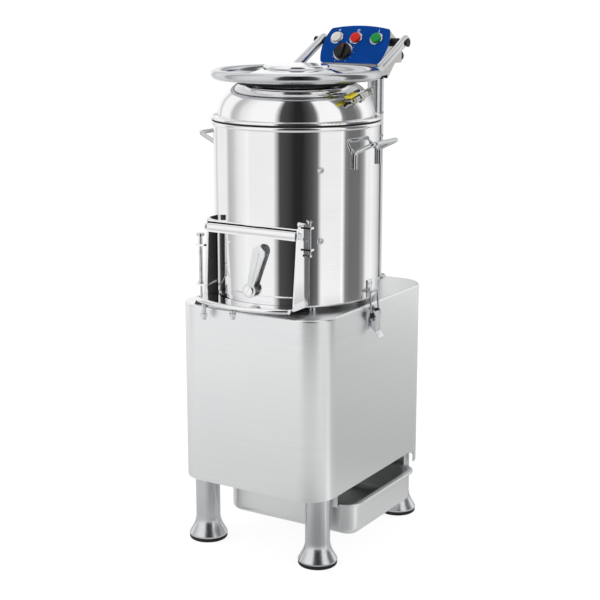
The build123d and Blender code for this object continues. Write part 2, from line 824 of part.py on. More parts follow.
def chute_pins():
    """The short upright pin on the right cheek and the studs under the lip."""
    pin = disc(hinge_pin_r, hinge_pin_low, hinge_pin_high, hinge_pin_x, hinge_pin_y)
    pin += disc(hinge_pin_head_r, hinge_pin_high, hinge_pin_high + hinge_pin_head_t, hinge_pin_x, hinge_pin_y)
    nut = extrude(Pos(hinge_pin_x, hinge_pin_y, hinge_pin_low - hinge_pin_head_t)
                  * RegularPolygon(hinge_pin_head_r, 6), hinge_pin_head_t)
    pieces = [pin + nut]
    lip_under = lip_top - 2 * lip_bead_r
    for x, length in zip(chute_stud_x, chute_stud_length):
        reach = math.sqrt(lip_r ** 2 - x ** 2)
        y = drum_y - reach
        stud = disc(chute_stud_r, lip_under - length, lip_under, x, y)
        low = lip_under - length + chute_nut_t
        stud += extrude(Pos(x, y, low) * RegularPolygon(chute_nut_r, 6), chute_nut_t)
        pieces.append(stud)
    return pieces


def door_panel_band(inner, outer, low, high):
    """A band round the drum axis, cut to the width of the door."""
    band = pipe(outer, inner, low, high, 0, drum_y)
    return band & between(-door_half, door_half, drum_y - outer, drum_y, low, high)


def discharge_door():
    """The curved door, its top ledge, its knuckle tube and the pin for the handle."""
    inner = drum_r + door_wrap
    outer = inner + door_t
    ledge_top = door_pivot_z - knuckle_r + door_ledge_t
    door = door_panel_band(inner, outer, door_bottom, ledge_top)
    ledge_low = ledge_top - door_ledge_t
    crescent = between(-door_half, door_half, door_pivot_y - knuckle_r, drum_y, ledge_low, ledge_top)
    crescent -= drum_envelope(inner)
    ring_zone = between(-door_half, door_half, drum_y - outer, door_pivot_y, ledge_low, ledge_top)
    door += crescent + (ring_zone & drum_envelope(outer))
    axis = ((-door_half, door_pivot_y, door_pivot_z), (door_half, door_pivot_y, door_pivot_z))
    door += rod(knuckle_r, *axis)
    face_y = drum_y - outer
    boss_front = face_y - handle_gap - handle_boss_len
    pin_end = boss_front - handle_gap
    door += rod(handle_pin_r, (handle_x, face_y + door_t, handle_z), (handle_x, pin_end, handle_z))
    screw = rod(handle_screw_r, (handle_x, pin_end, handle_z), (handle_x, pin_end - handle_screw_t, handle_z))
    slot = Pos(handle_x, pin_end - handle_screw_t, handle_z) * Rot(0, 2 * handle_lean, 0)
    screw -= slot * Box(handle_slot, handle_screw_t, 2 * handle_screw_r + cut_past)
    door += screw
    bore = rod(door_rod_r + pin_gap, (-cheek_in, door_pivot_y, door_pivot_z),
               (cheek_in, door_pivot_y, door_pivot_z))
    return door - bore


def door_lever():
    """The handle that turns on the door, a boss with a creased strap."""
    back = drum_y - (drum_r + door_wrap + door_t) - handle_gap
    front = back - handle_boss_len
    flat = Plane(origin=(handle_x, front, handle_z), x_dir=(1, 0, 0), z_dir=(0, -1, 0))
    boss = rod(handle_boss_r, (handle_x, back, handle_z), (handle_x, front, handle_z))
    tip = handle_tip_w / 2
    neck = handle_neck_w / 2
    strap = outline(Line((-neck, 0), (-neck, handle_boss_r)),
                    Line((-neck, handle_boss_r), (-tip, handle_length - tip)),
                    ThreePointArc((-tip, handle_length - tip), (0, handle_length),
                                  (tip, handle_length - tip)),
                    Line((tip, handle_length - tip), (neck, handle_boss_r)),
                    Line((neck, handle_boss_r), (neck, 0)), Line((neck, 0), (-neck, 0)))
    crease = Pos(0, handle_length / 2, 0) * RectangleRounded(handle_crease_w, handle_length - 2 * tip,
                                                             handle_crease_w / 2 - seat_gap)
    lean = flat * Rot(0, 0, -handle_lean)
    lever = boss + extrude(lean * strap, -handle_strap_t)
    lever += extrude(lean * crease, handle_strap_t / 4)
    past = (handle_x, front - cut_past, handle_z)
    lever -= rod(handle_pin_r + pin_gap, (handle_x, back + cut_past, handle_z), past)
    return lever - rod(handle_screw_r, past, (handle_x, front, handle_z))


def locking_pin():
    """The drop pin with a cap, a collar and a thin lower end."""
    collar_low = lock_lug_low + lock_lug_t + turn_gap
    pin = disc(lock_cap_r, lock_top - lock_cap_t, lock_top, lock_x, lock_y)
    pin = fillet(pin.edges().group_by(Axis.Z)[-1], lock_cap_t / 4)
    pin += disc(lock_shaft_r, collar_low, lock_top - lock_cap_t, lock_x, lock_y)
    pin += disc(lock_collar_r, collar_low, collar_low + lock_collar_t, lock_x, lock_y)
    return pin + disc(lock_rod_r, cabinet_top - lock_tip_in, collar_low, lock_x, lock_y)


def pin_socket():
    """The dark wedge on the cabinet that guides the lower end of the locking pin."""
    half = lock_socket_w / 2
    wedge = make_face(Polyline((lock_y - half, cabinet_top), (lock_y + half, cabinet_top),
                               (lock_y + half, cabinet_top + lock_socket_h),
                               (lock_y, cabinet_top + lock_socket_h), close=True))
    block = Pos(lock_x, 0, 0) * side_profile(wedge, half)
    return block - disc(lock_rod_r + turn_gap, cabinet_top - cut_past, lock_lug_low, lock_x, lock_y)


def side_handle(side):
    """A carrying handle, legs on the drum wall and the grip bar standing off."""
    leg_out = math.sqrt((drum_r + grip_rod_r + pin_gap) ** 2 - grip_half ** 2)
    points = [(leg_out, -grip_half, grip_low), (leg_out, -grip_half, grip_bend_z),
              (grip_bar_x, -grip_half, grip_bar_z), (grip_bar_x, grip_half, grip_bar_z),
              (leg_out, grip_half, grip_bend_z), (leg_out, grip_half, grip_low)]
    grip = Pos(0, drum_y, 0) * bent_rod(points, grip_bend_r, grip_rod_r)
    return grip if side > 0 else mirrored(grip)


def latch_base():
    """The plate on the cabinet with two ears and the lever's pin."""
    low, high = latch_plate_low, latch_plate_high
    front = latch_y - latch_plate_w / 2
    back = latch_y + latch_plate_w / 2
    base = between(cabinet_side, cabinet_side + latch_plate_t, front, back, low, high)
    for side in (-1, 1):
        near = latch_y + side * latch_ear_in
        far = latch_y + side * (latch_ear_in + latch_ear_t)
        base += rod(latch_ear_r, (latch_pivot_x, near, latch_pivot_z), (latch_pivot_x, far, latch_pivot_z))
        base += between(cabinet_side, latch_pivot_x, near, far, latch_pivot_z - latch_ear_r,
                        latch_pivot_z + latch_ear_r)
    reach = latch_ear_in + latch_ear_t
    return base + rod(latch_pin_r, (latch_pivot_x, latch_y - reach, latch_pivot_z),
                      (latch_pivot_x, latch_y + reach, latch_pivot_z))


def latch_lever():
    """The pressed channel lever of the latch with a turned-out tip."""
    out = latch_pivot_x + latch_lever_front
    back = latch_pivot_x - latch_lever_back
    skin = latch_lever_sheet
    side = make_face(Polyline((back, latch_lever_top), (out, latch_lever_top), (out, latch_lever_low),
                              (out + latch_tip_out, latch_lever_low - latch_tip_drop),
                              (out + latch_tip_out - skin, latch_lever_low - latch_tip_drop),
                              (out - skin, latch_lever_low),
                              (back, latch_lever_low + latch_lever_front), close=True))
    core = make_face(Polyline((back - cut_past, latch_lever_top + cut_past),
                              (out - skin, latch_lever_top + cut_past),
                              (out - skin, latch_lever_low), (back - cut_past, latch_lever_low - cut_past),
                              close=True))
    level = Plane(origin=(0, latch_y, 0), x_dir=(1, 0, 0), z_dir=(0, -1, 0))
    lever = extrude(level * side, latch_lever_half, both=True)
    lever -= extrude(level * core, latch_lever_half - skin, both=True)
    for z in (latch_pivot_z, latch_pivot_z - bail_drop):
        lever -= rod(latch_pin_r + pin_gap, (latch_pivot_x, latch_y - latch_lever_half - cut_past, z),
                     (latch_pivot_x, latch_y + latch_lever_half + cut_past, z))
    return lever


def latch_bail():
    """The wire bail from the lever up over the hook on the drum."""
    foot_z = latch_pivot_z - bail_drop
    inner = latch_lever_half - latch_lever_sheet
    points = [(latch_pivot_x, latch_y - inner, foot_z), (latch_pivot_x, latch_y - bail_half, foot_z),
              (bail_bar_x, latch_y - bail_half, bail_bar_z), (bail_bar_x, latch_y + bail_half, bail_bar_z),
              (latch_pivot_x, latch_y + bail_half, foot_z), (latch_pivot_x, latch_y + inner, foot_z)]
    return bent_rod(points, bail_wire_r, bail_wire_r - pin_gap / 2)


def latch_keeper():
    """The curved hook plate riveted to the drum."""
    start = latch_y - keeper_w / 2
    end = latch_y + keeper_w / 2
    plate = pipe(drum_r + seat_gap + keeper_t, drum_r + seat_gap, keeper_low, keeper_high, 0, drum_y)
    plate = plate & between(0, cabinet_width, start, end, keeper_low, keeper_high)
    hook = between(drum_r - keeper_t, drum_r + keeper_hook_out, start, end,
                   keeper_hook_z, keeper_hook_z + keeper_t)
    return plate + (hook - drum_envelope(drum_r + seat_gap))


def control_posts():
    """Two tubes with flanges that carry the control head."""
    posts = []
    for x in (-post_x, post_x):
        post = pipe(post_r, post_r - post_wall, cabinet_top, bracket_bottom, x, post_y)
        post += pipe(post_flange_r, post_r - post_wall, cabinet_top, cabinet_top + post_flange_t, x, post_y)
        posts.append(post)
    return posts


def control_bracket():
    """The folded tray between the posts and the control housing."""
    side = make_face(Polyline((bracket_front, housing_bottom), (bracket_front, bracket_front_z),
                              (bracket_toe, bracket_bottom), (bracket_heel, bracket_bottom),
                              (bracket_back, housing_bottom), close=True))
    tray = side_profile(side, bracket_half)
    tray -= side_profile(offset(side, -bracket_sheet), bracket_half - bracket_sheet)
    for side_sign in (-1, 1):
        corner = Pos(side_sign * bracket_half, 0, bracket_bottom) * Rot(0, eighth_turn, 0)
        tray -= corner * Box(bracket_corner, cabinet_depth, bracket_corner)
    return tray


def panel_face():
    """The plane of the outer face of the control panel, its origin at the foot in the middle."""
    tilt = math.radians(panel_tilt)
    outward = (0, -math.cos(tilt), math.sin(tilt))
    return Plane(origin=(0, panel_foot_y, panel_foot_z), x_dir=(1, 0, 0), z_dir=outward)


def control_housing():
    """The housing behind the panel, a folded box with a sloping back."""
    tilt = math.radians(panel_tilt)
    back_y = panel_foot_y + panel_t * math.cos(tilt)
    back_z = panel_foot_z - panel_t * math.sin(tilt)
    foot_y = back_y + (housing_bottom - back_z) * math.tan(tilt)
    top_y = back_y + panel_length * math.sin(tilt)
    top_z = back_z + panel_length * math.cos(tilt)
    side = make_face(Polyline((foot_y, housing_bottom), (top_y, top_z),
                              (housing_top_back_y, housing_top_back_z), (housing_back, housing_back_top),
                              (housing_back, housing_bottom), close=True))
    box = side_profile(side, housing_half)
    box -= side_profile(offset(side, -housing_sheet), housing_half - housing_sheet)
    tops = box.edges().filter_by(Axis.X).group_by(Axis.Z)[-1]
    box = fillet(tops.sort_by(Axis.Y)[-1], housing_bend_r)
    deep = 2 * housing_sheet + panel_t
    for name, share in button_x_share.items():
        box -= panel_hole(share * panel_mid_half, button_rise, bezel_hole_r, deep)
    box -= panel_hole(timer_x, timer_rise, timer_ring_hole_r, deep)
    return box - rod(gland_bore_r, (gland_x, housing_back - 2 * housing_sheet, gland_z()),
                     (gland_x, housing_back + cut_past, gland_z()))


def panel_hole(x, rise, radius, deep):
    """A round hole through the panel and the front of the housing."""
    place = panel_face() * Pos(x, rise, 0)
    return place * Pos(0, 0, -deep / 2) * Cylinder(radius, deep + cut_past)


def gland_z():
    """The height of the gland, in the middle of the upright back."""
    return (housing_bottom + housing_back_top) / 2


def control_panel_plate():
    """The barrel-shaped front plate of the control head."""
    middle = panel_length * panel_widest_share
    face = outline(Line((-panel_bottom_half, 0), (panel_bottom_half, 0)),
                   ThreePointArc((panel_bottom_half, 0), (panel_mid_half, middle),
                                 (panel_top_half, panel_length)),
                   ThreePointArc((panel_top_half, panel_length), (0, panel_length + panel_crown),
                                 (-panel_top_half, panel_length)),
                   ThreePointArc((-panel_top_half, panel_length), (-panel_mid_half, middle),
                                 (-panel_bottom_half, 0)))
    face = fillet(face.vertices(), panel_round)
    plate = extrude(panel_face() * face, -panel_t)
    for name, share in button_x_share.items():
        plate -= panel_hole(share * panel_mid_half, button_rise, bezel_hole_r, panel_t)
    return plate - panel_hole(timer_x, timer_rise, timer_ring_hole_r, panel_t)


def control_bezels():
    """The bright rings round the buttons and under the timer knob."""
    rings = []
    for name, share in button_x_share.items():
        ring = turned(make_face(Polyline((bezel_hole_r, 0), (bezel_r, 0), (bezel_r, bezel_h - bezel_edge),
                                         (bezel_r - bezel_edge, bezel_h), (bezel_hole_r, bezel_h),
                                         close=True)))
        rings.append(panel_face() * Pos(share * panel_mid_half, button_rise, 0) * ring)
    dial = Cylinder(timer_ring_r, timer_ring_h) - Cylinder(timer_ring_hole_r, timer_ring_h + cut_past)
    rings.append(panel_face() * Pos(timer_x, timer_rise, timer_ring_h / 2) * dial)
    return rings


def push_button(name):
    """A domed cap on a stem that passes through the panel."""
    crown = bezel_h + button_h - button_travel
    cap_low = bezel_h - button_travel
    ball_r = (button_r ** 2 + button_dome ** 2) / (2 * button_dome)
    half_way = crown + button_dome - ball_r + math.sqrt(ball_r ** 2 - button_r ** 2 / 4)
    face = outline(Line((0, -button_stem), (button_stem_r, -button_stem)),
                   Line((button_stem_r, -button_stem), (button_stem_r, cap_low)),
                   Line((button_stem_r, cap_low), (button_r, cap_low)),
                   Line((button_r, cap_low), (button_r, crown)),
                   ThreePointArc((button_r, crown), (button_r / 2, half_way), (0, crown + button_dome)),
                   Line((0, crown + button_dome), (0, -button_stem)))
    cap = revolve(Plane.XZ * face, Axis.Z)
    return panel_face() * Pos(button_x_share[name] * panel_mid_half, button_rise, 0) * cap


def timer_knob():
    """The timer knob with a raised grip bar."""
    low = timer_ring_h + turn_gap
    knob = Pos(0, 0, low) * extrude(Circle(timer_knob_r), timer_knob_h - timer_grip_h, taper=timer_knob_taper)
    top = low + timer_knob_h - timer_grip_h
    grip = Pos(0, 0, top) * extrude(RectangleRounded(timer_grip_w, 2 * timer_knob_r - timer_grip_w / 2,
                                                     timer_grip_w / 3), timer_grip_h, taper=timer_knob_taper)
    shaft = Pos(0, 0, (low - timer_shaft) / 2) * Cylinder(timer_shaft_r, low + timer_shaft)
    return panel_face() * Pos(timer_x, timer_rise, 0) * (knob + grip + shaft)


def cable_gland():
    """The gland for the supply cable on the back of the housing."""
    back = Plane(origin=(gland_x, housing_back, gland_z()), x_dir=(-1, 0, 0), z_dir=(0, 1, 0))
    body = extrude(back * RegularPolygon(gland_hex / 2, 6, major_radius=False), gland_hex_t)
    nut = extrude(back * Pos(0, 0, gland_hex_t) * Circle(gland_nut_r), gland_length - gland_hex_t)
    nut = fillet(nut.edges().group_by(Axis.Y)[-1], gland_nut_r / 4)
    return body + nut - rod(gland_bore_r, (gland_x, housing_back - cut_past, gland_z()),
                            (gland_x, housing_back + gland_length + cut_past, gland_z()))


def beside_dome(out, turn, rise):
    """A point by its distance out from the dome wall, its turn round the drum axis and its height."""
    reach = dome_wall_r + out
    angle = math.radians(turn)
    return Vector(reach * math.cos(angle), drum_y + reach * math.sin(angle), dome_spring + rise)


def valve_line():
    """The plane at the foot of the valve, its local X running to the hose end and Z away from the dome."""
    foot = beside_dome(valve_foot_out, valve_foot_turn, valve_foot_rise)
    run = beside_dome(-valve_tail_in, valve_tail_turn, valve_tail_rise) - foot
    along = run.normalized()
    up = Vector(0, 0, 1)
    lift = up - along * up.dot(along)
    return Plane(origin=foot, x_dir=along, z_dir=lift), run.length


def inlet_valve_body():
    """The chromed ball valve with its nipple into the dome and its hose tail."""
    place, length = valve_line()
    hex_len = length * valve_hex_len_share
    stem_at = length * valve_stem_share
    end = Plane.YZ
    barrel = extrude(end * Circle(valve_r), length)
    barrel += extrude(Plane(origin=(stem_at - hex_len / 2, 0, 0), x_dir=(0, 1, 0), z_dir=(1, 0, 0))
                      * RegularPolygon(valve_hex / 2, 6, major_radius=False), hex_len)
    barrel += Sphere(valve_r)
    barrel += Pos(stem_at, 0, valve_stem_top / 2) * Cylinder(valve_stem_r, valve_stem_top)
    barrel += rod(valve_hose_r, (length, 0, 0), (length + valve_hose_len, 0, 0))
    body = place * barrel
    foot = place.origin
    inward = Vector(0, drum_y, dome_spring) - foot
    target = foot + inward.normalized() * dome_shoulder / 2
    nipple = rod(valve_nipple_r, tuple(foot), tuple(target)) - dome_envelope()
    return body + nipple


def valve_lever():
    """The yellow lever plate with its nut, over the valve stem."""
    place, length = valve_line()
    stem_at = length * valve_stem_share
    low = valve_stem_top + turn_gap
    middle = stem_at + (valve_lever_tail - valve_lever_len) / 2
    plate = Pos(middle, 0, low) * extrude(RectangleRounded(valve_lever_len + valve_lever_tail, valve_lever_w,
                                                           valve_lever_w / 4), valve_lever_t)
    nut = Pos(stem_at, 0, low + valve_lever_t) * extrude(RegularPolygon(valve_stem_r, 6), valve_nut_h)
    return place * (plate + nut)


def bearing_housing():
    """The flanged hub under the cabinet top that carries the shaft."""
    outer = shaft_r + hub_wall
    hub = disc(outer, cabinet_ceiling - hub_drop, cabinet_top + hub_rise, 0, drum_y)
    hub += disc(hub_flange_r, cabinet_ceiling - hub_flange_t, cabinet_ceiling, 0, drum_y)
    return hub - disc(shaft_r + pin_gap, pulley_z, disc_bottom, 0, drum_y)


def drive_shaft():
    """The shaft from the pulley up to the cap that clamps the disc."""
    shaft = disc(shaft_r, pulley_z, coat_top, 0, drum_y)
    cap = disc(shaft_cap_r, coat_top, coat_top + shaft_cap_h, 0, drum_y)
    return shaft + fillet(cap.edges().group_by(Axis.Z)[-1], shaft_cap_h / 2)


def peeling_disc():
    """The cast disc with fins that sweep the peelings to the drain and a slinger round the hub."""
    plate = disc(disc_r, disc_bottom, disc_top)
    slinger_in = drum_collar_r + drum_wall + slinger_gap
    plate += pipe(slinger_in + slinger_t, slinger_in, disc_bottom - slinger_h, disc_bottom)
    fin = between(slinger_in + slinger_t / 2, disc_r, -fin_t / 2, fin_t / 2, disc_bottom - fin_h, disc_bottom)
    fin = fin & disc(disc_r, disc_bottom - fin_h, disc_bottom)
    for place in PolarLocations(0, fin_count):
        plate += place * fin
    return Pos(0, drum_y, 0) * (plate - disc(shaft_r + pin_gap, disc_bottom - cut_past, disc_top + cut_past))


def disc_abrasive():
    """The gritty top of the disc with its radial waves."""
    coat = disc(disc_r, disc_top, coat_top)
    ridge = Pos((wave_start_r + disc_r) / 2, 0, coat_top - wave_sunk) * Rot(0, quarter_turn, 0)
    ridge = ridge * Cylinder(wave_r, disc_r - wave_start_r)
    ridge = ridge & disc(disc_r, disc_top, coat_top + wave_r)
    for place in PolarLocations(0, wave_count):
        coat += place * ridge
    room = disc(shaft_cap_r + turn_gap, coat_top, coat_top + wave_r)
    coat -= room
    return Pos(0, drum_y, 0) * (coat - disc(shaft_r + pin_gap, disc_top - cut_past, coat_top + cut_past))


def grooved_pulley(radius, bore, y):
    """A pulley with one belt groove."""
    top = pulley_z + pulley_t
    middle = pulley_z + pulley_t / 2
    deep = radius - groove_depth
    flat = belt_t / 2 + turn_gap
    face = make_face(Polyline((bore, pulley_z), (radius, pulley_z), (radius, pulley_z + groove_edge),
                              (deep, middle - flat), (deep, middle + flat), (radius, top - groove_edge),
                              (radius, top), (bore, top), close=True))
    return turned(face, y)


def motor_pulley():
    """The small pulley on the end of the motor shaft."""
    shaft = disc(motor_shaft_r, mount_low() - mount_neck_r, pulley_z + pulley_t, 0, motor_y)
    return grooved_pulley(motor_pulley_r, motor_shaft_r / 2, motor_y) + shaft


def belt_band(big, small):
    """The area inside a belt that runs round the two pulleys."""
    wheels = Pos(0, drum_y) * Circle(big) + Pos(0, motor_y) * Circle(small)
    return make_hull(wheels.edges())


def drive_belt():
    """The belt between the motor pulley and the shaft pulley."""
    sunk = belt_sunk
    outer = belt_band(pulley_r - sunk, motor_pulley_r - sunk)
    inner = belt_band(pulley_r - sunk - belt_t, motor_pulley_r - sunk - belt_t)
    low = pulley_z + (pulley_t - belt_t) / 2
    return Pos(0, 0, low) * extrude(outer - inner, belt_t)


def mount_low():
    """The underside of the motor plate."""
    return pulley_z - mount_gap - mount_t


def motor_mount():
    """The plate that hangs from the cabinet top on four columns."""
    low = mount_low()
    plate = between(-mount_width / 2, mount_width / 2, motor_y - mount_depth / 2, motor_y + mount_depth / 2,
                    low, low + mount_t)
    for x in (-1, 1):
        for y in (-1, 1):
            plate += disc(mount_column_r, low, cabinet_ceiling, x * (mount_width / 2 - mount_column_inset),
                          motor_y + y * (mount_depth / 2 - mount_column_inset))
    return plate - disc(mount_neck_r, low - cut_past, low + mount_t + cut_past, 0, motor_y)


def motor():
    """The finned motor under the plate."""
    top = mount_low()
    low = top - motor_height
    body = disc(motor_r, low, top)
    for place in PolarLocations(motor_r, motor_fin_count):
        body -= place * between(-motor_fin_depth, cut_past, -motor_fin_t / 2, motor_fin_t / 2,
                                low + motor_bell_h, top - motor_bell_h)
    body = fillet(body.edges().group_by(Axis.Z)[0], motor_bell_h / 2)
    return Pos(0, motor_y, 0) * (body - disc(motor_shaft_r + pin_gap, top - mount_neck_r, top + cut_past))


def drain_duct():
    """The tube that leads water and peelings from the drum floor down to the pan."""
    return pipe(duct_r, duct_r - duct_wall, cabinet_bottom - duct_drop, drum_bottom, duct_x, duct_y)


def build_nodes():
    """Every piece of the machine by name, in the cabinet's own frame."""
    nodes = {
        "cabinet_shell": cabinet_shell(), "cabinet_base_plate": cabinet_base_plate(),
        "cabinet_rear_cover": cabinet_rear_cover(), "pan_runners": pan_runners(), "drain_pan": drain_pan(),
        "drum_shell": drum_shell(), "drum_floor": drum_floor(), "drum_feet": drum_feet(),
        "abrasive_liner": abrasive_liner(),
        "rim_seal": rim_seal(), "dome_cover": dome_cover(), "loading_gasket": loading_gasket(),
        "lid_frame": lid_frame(), "lid_plate": lid_plate(), "lid_gasket": lid_gasket(),
        "lid_pivot_pins": lid_pivot_pins(), "chute_frame": chute_frame(), "door_hinge_rod": door_hinge_rod(),
        "chute_pins": chute_pins(), "discharge_door": discharge_door(), "door_lever": door_lever(),
        "locking_pin": locking_pin(), "pin_socket": pin_socket(), "side_handle_right": side_handle(1),
        "side_handle_left": side_handle(-1), "control_posts": control_posts(),
        "control_bracket": control_bracket(), "control_housing": control_housing(),
        "control_panel_plate": control_panel_plate(), "control_bezels": control_bezels(),
        "timer_knob": timer_knob(), "cable_gland": cable_gland(), "inlet_valve_body": inlet_valve_body(),
        "valve_lever": valve_lever(), "bearing_housing": bearing_housing(), "drive_shaft": drive_shaft(),
        "peeling_disc": peeling_disc(), "disc_abrasive": disc_abrasive(), "motor": motor(),
        "shaft_pulley": grooved_pulley(pulley_r, shaft_r + pin_gap, drum_y), "motor_pulley": motor_pulley(),
        "drive_belt": drive_belt(), "motor_mount": motor_mount(), "drain_duct": drain_duct(),
    }
    for name in button_x_share:
        nodes[name] = push_button(name)
    pads = []
    for row, y in (("front", -leg_y), ("rear", leg_y)):
        for side, x in (("left", -leg_x), ("right", leg_x)):
            nodes[f"leg_{row}_{side}"] = leg(x, y)
            pads.append(leg_pad(x, y))
    nodes["leg_pads"] = pads
    for name, piece in (("latch_base", latch_base()), ("latch_lever", latch_lever()),
                        ("latch_bail", latch_bail()), ("latch_keeper", latch_keeper())):
        nodes[name + "_right"] = piece
        nodes[name + "_left"] = mirrored(piece)
    return nodes


def solids_of(piece):
    """The separate solids of one node."""
    pieces = piece if isinstance(piece, list) else [piece]
    return [solid for part in pieces for solid in part.solids()]


def overall_box(parts):
    """The lowest and highest corners of all the pieces together."""
    boxes = [solid.bounding_box() for solids in parts.values() for solid in solids]
    low = Vector(min(b.min.X for b in boxes), min(b.min.Y for b in boxes), min(b.min.Z for b in boxes))
    high = Vector(max(b.max.X for b in boxes), max(b.max.Y for b in boxes), max(b.max.Z for b in boxes))
    return low, high


parts = {name: solids_of(piece) for name, piece in build_nodes().items()}
box_low, box_high = overall_box(parts)
origin_shift = Vector(-(box_low.X + box_high.X) / 2, -(box_low.Y + box_high.Y) / 2, -box_low.Z)

os.makedirs("parts", exist_ok=True)
for name, solids in parts.items():
    placed = [solid.moved(Location(origin_shift)) for solid in solids]
    shape = placed[0] if len(placed) == 1 else Compound(children=placed)
    shape.label = name
    export_step(shape, f"parts/{name}.step")
print(len(parts), "nodes, origin shift", [round(v, 3) for v in origin_shift], "box", box_low, box_high)
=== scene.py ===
import json
import math

import bmesh
import bpy
from mathutils import Matrix, Vector


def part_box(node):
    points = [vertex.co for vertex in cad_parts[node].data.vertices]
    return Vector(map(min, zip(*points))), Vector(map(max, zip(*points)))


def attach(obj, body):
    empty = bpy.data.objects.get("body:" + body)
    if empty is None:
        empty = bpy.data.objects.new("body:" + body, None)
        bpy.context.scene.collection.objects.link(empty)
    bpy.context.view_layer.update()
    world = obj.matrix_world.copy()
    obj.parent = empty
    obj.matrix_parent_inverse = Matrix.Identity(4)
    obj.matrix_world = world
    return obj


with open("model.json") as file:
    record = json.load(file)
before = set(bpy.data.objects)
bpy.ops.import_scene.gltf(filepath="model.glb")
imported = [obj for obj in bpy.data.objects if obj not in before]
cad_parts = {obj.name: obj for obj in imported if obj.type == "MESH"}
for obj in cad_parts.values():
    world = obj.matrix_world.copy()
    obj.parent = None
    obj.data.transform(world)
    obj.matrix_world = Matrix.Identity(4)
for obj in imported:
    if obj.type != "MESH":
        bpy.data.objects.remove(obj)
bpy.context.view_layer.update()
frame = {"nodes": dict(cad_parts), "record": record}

bl_info = {
    "name": "Potato Peeler Finisher",
    "version": (1, 0, 0),
    "blender": (4, 5, 0),
    "location": "3D View > Sidebar > Peeler",
    "description": "Adds fasteners, trim, finishes and a studio to an electric potato peeler",
    "category": "Object",
}

MM = 0.001
UPWARD = Vector((0, 0, 1))
BACKWARD = Vector((0, 1, 0))
ROUND_STEPS = 28
RIVET_STEPS = 16
HEAD_STEPS = 24
MERGE_DISTANCE = 1e-6
SAME_POINT = 1e-7
# Where one noise, and the sum of two, spend most of their values.
NOISE_SPREAD = (0.3, 0.7)
TWO_NOISE_SPREAD = (0.7, 1.3)


# ---------------- places, read from the CAD nodes

def middle(node):
    """The middle of a node's box."""
    low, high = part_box(node)
    return (low + high) / 2


DRUM_AXIS = Vector((middle("drum_shell").x, middle("drum_shell").y, 0))
# The bead round the drum's rim stands out past its wall by this much.
DRUM_BEAD = 5 * MM
DRUM_RADIUS = (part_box("drum_shell")[1].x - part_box("drum_shell")[0].x) / 2 - DRUM_BEAD
CABINET_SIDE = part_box("cabinet_shell")[1].x
PANEL_TILT = math.radians(36.3)
PANEL_SHEET = 3 * MM
PANEL_OUT = Vector((0, -math.cos(PANEL_TILT), math.sin(PANEL_TILT)))
PANEL_UP = Vector((0, math.sin(PANEL_TILT), math.cos(PANEL_TILT)))
PANEL_FOOT = Vector((0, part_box("control_panel_plate")[0].y,
                     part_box("control_panel_plate")[0].z + PANEL_SHEET * math.sin(PANEL_TILT)))


def on_panel(x, rise, proud=0.0):
    """A point on the outer face of the control panel, measured from its foot in the middle."""
    return PANEL_FOOT + Vector((x, 0, 0)) + PANEL_UP * rise + PANEL_OUT * proud


def on_drum(turn, height, proud=0.0):
    """A point on the drum wall, by its turn round the axis in degrees and its height."""
    angle = math.radians(turn)
    reach = DRUM_RADIUS + proud
    return DRUM_AXIS + Vector((reach * math.cos(angle), reach * math.sin(angle), height))


def facing(turn):
    """The level direction at a turn in degrees."""
    return Vector((math.cos(math.radians(turn)), math.sin(math.radians(turn)), 0))


# ---------------- colours and material nodes

def linear(code):
    """An sRGB hex colour as opaque linear RGBA, by the sRGB standard's own numbers."""
    parts = [int(code[i:i + 2], 16) / 255 for i in (1, 3, 5)]
    return (*[c / 12.92 if c <= 0.04045 else ((c + 0.055) / 1.055) ** 2.4 for c in parts], 1.0)


def add(tree, kind, feeds=None, **settings):
    """Adds a node, sets its properties, and links or fills the sockets named in feeds."""
    made = tree.nodes.new(kind)
    for name, value in settings.items():
        setattr(made, name, value)
    for socket, value in (feeds or {}).items():
        if isinstance(value, bpy.types.NodeSocket):
            tree.links.new(value, made.inputs[socket])
        else:
            made.inputs[socket].default_value = value
    return made


def surface(name, **constants):
    """A material with one Principled shader, whose constant values are set on its own sockets."""
    material = bpy.data.materials.new(name)
    material.use_nodes = True
    tree = material.node_tree
    shader = tree.nodes["Principled BSDF"]
    for socket, value in constants.items():
        shader.inputs[socket.replace("_", " ")].default_value = value
    return material, tree, shader


def pattern(tree, across_mm, along_mm=None, grain="Z", detail=3.0, kind="ShaderNodeTexNoise"):
    """A noise on Object coordinates, across_mm wide on the grain's axes and along_mm on any others."""
    size = [1000 / (across_mm if axis in grain else along_mm or across_mm) for axis in "XYZ"]
    place = add(tree, "ShaderNodeTexCoord").outputs["Object"]
    scaled = add(tree, "ShaderNodeMapping", {"Vector": place, "Scale": size})
    noise = add(tree, kind, {"Vector": scaled.outputs["Vector"], "Scale": 1.0})
    if kind == "ShaderNodeTexNoise":
        noise.inputs["Detail"].default_value = detail
        return noise.outputs["Fac"]
    return noise.outputs["Distance"]


def worked(tree, operation, first, second):
    """The result of one sum on two values."""
    return add(tree, "ShaderNodeMath", {0: first, 1: second}, operation=operation).outputs["Value"]


def measured(tree, operation, place, other=(0, 0, 0)):
    """A length, a distance or a dot product of vectors."""
    return add(tree, "ShaderNodeVectorMath", {0: place, 1: other}, operation=operation).outputs["Value"]


def stepped(tree, value, low, high, to_low, to_high):
    """A value carried from one range to another."""
    return add(tree, "ShaderNodeMapRange", {"Value": value, "From Min": low, "From Max": high,
                                            "To Min": to_low, "To Max": to_high}).outputs["Result"]


def mixed(tree, value, dark, light):
    """A colour between two linear colours by a value from 0 to 1; the light one may be a socket."""
    return add(tree, "ShaderNodeMix", {"Factor": value, 6: dark, 7: light}, data_type="RGBA").outputs[2]


def blended(tree, value, dark, light):
    """A colour between two hex colours by a value from 0 to 1."""
    return mixed(tree, value, linear(dark), linear(light))


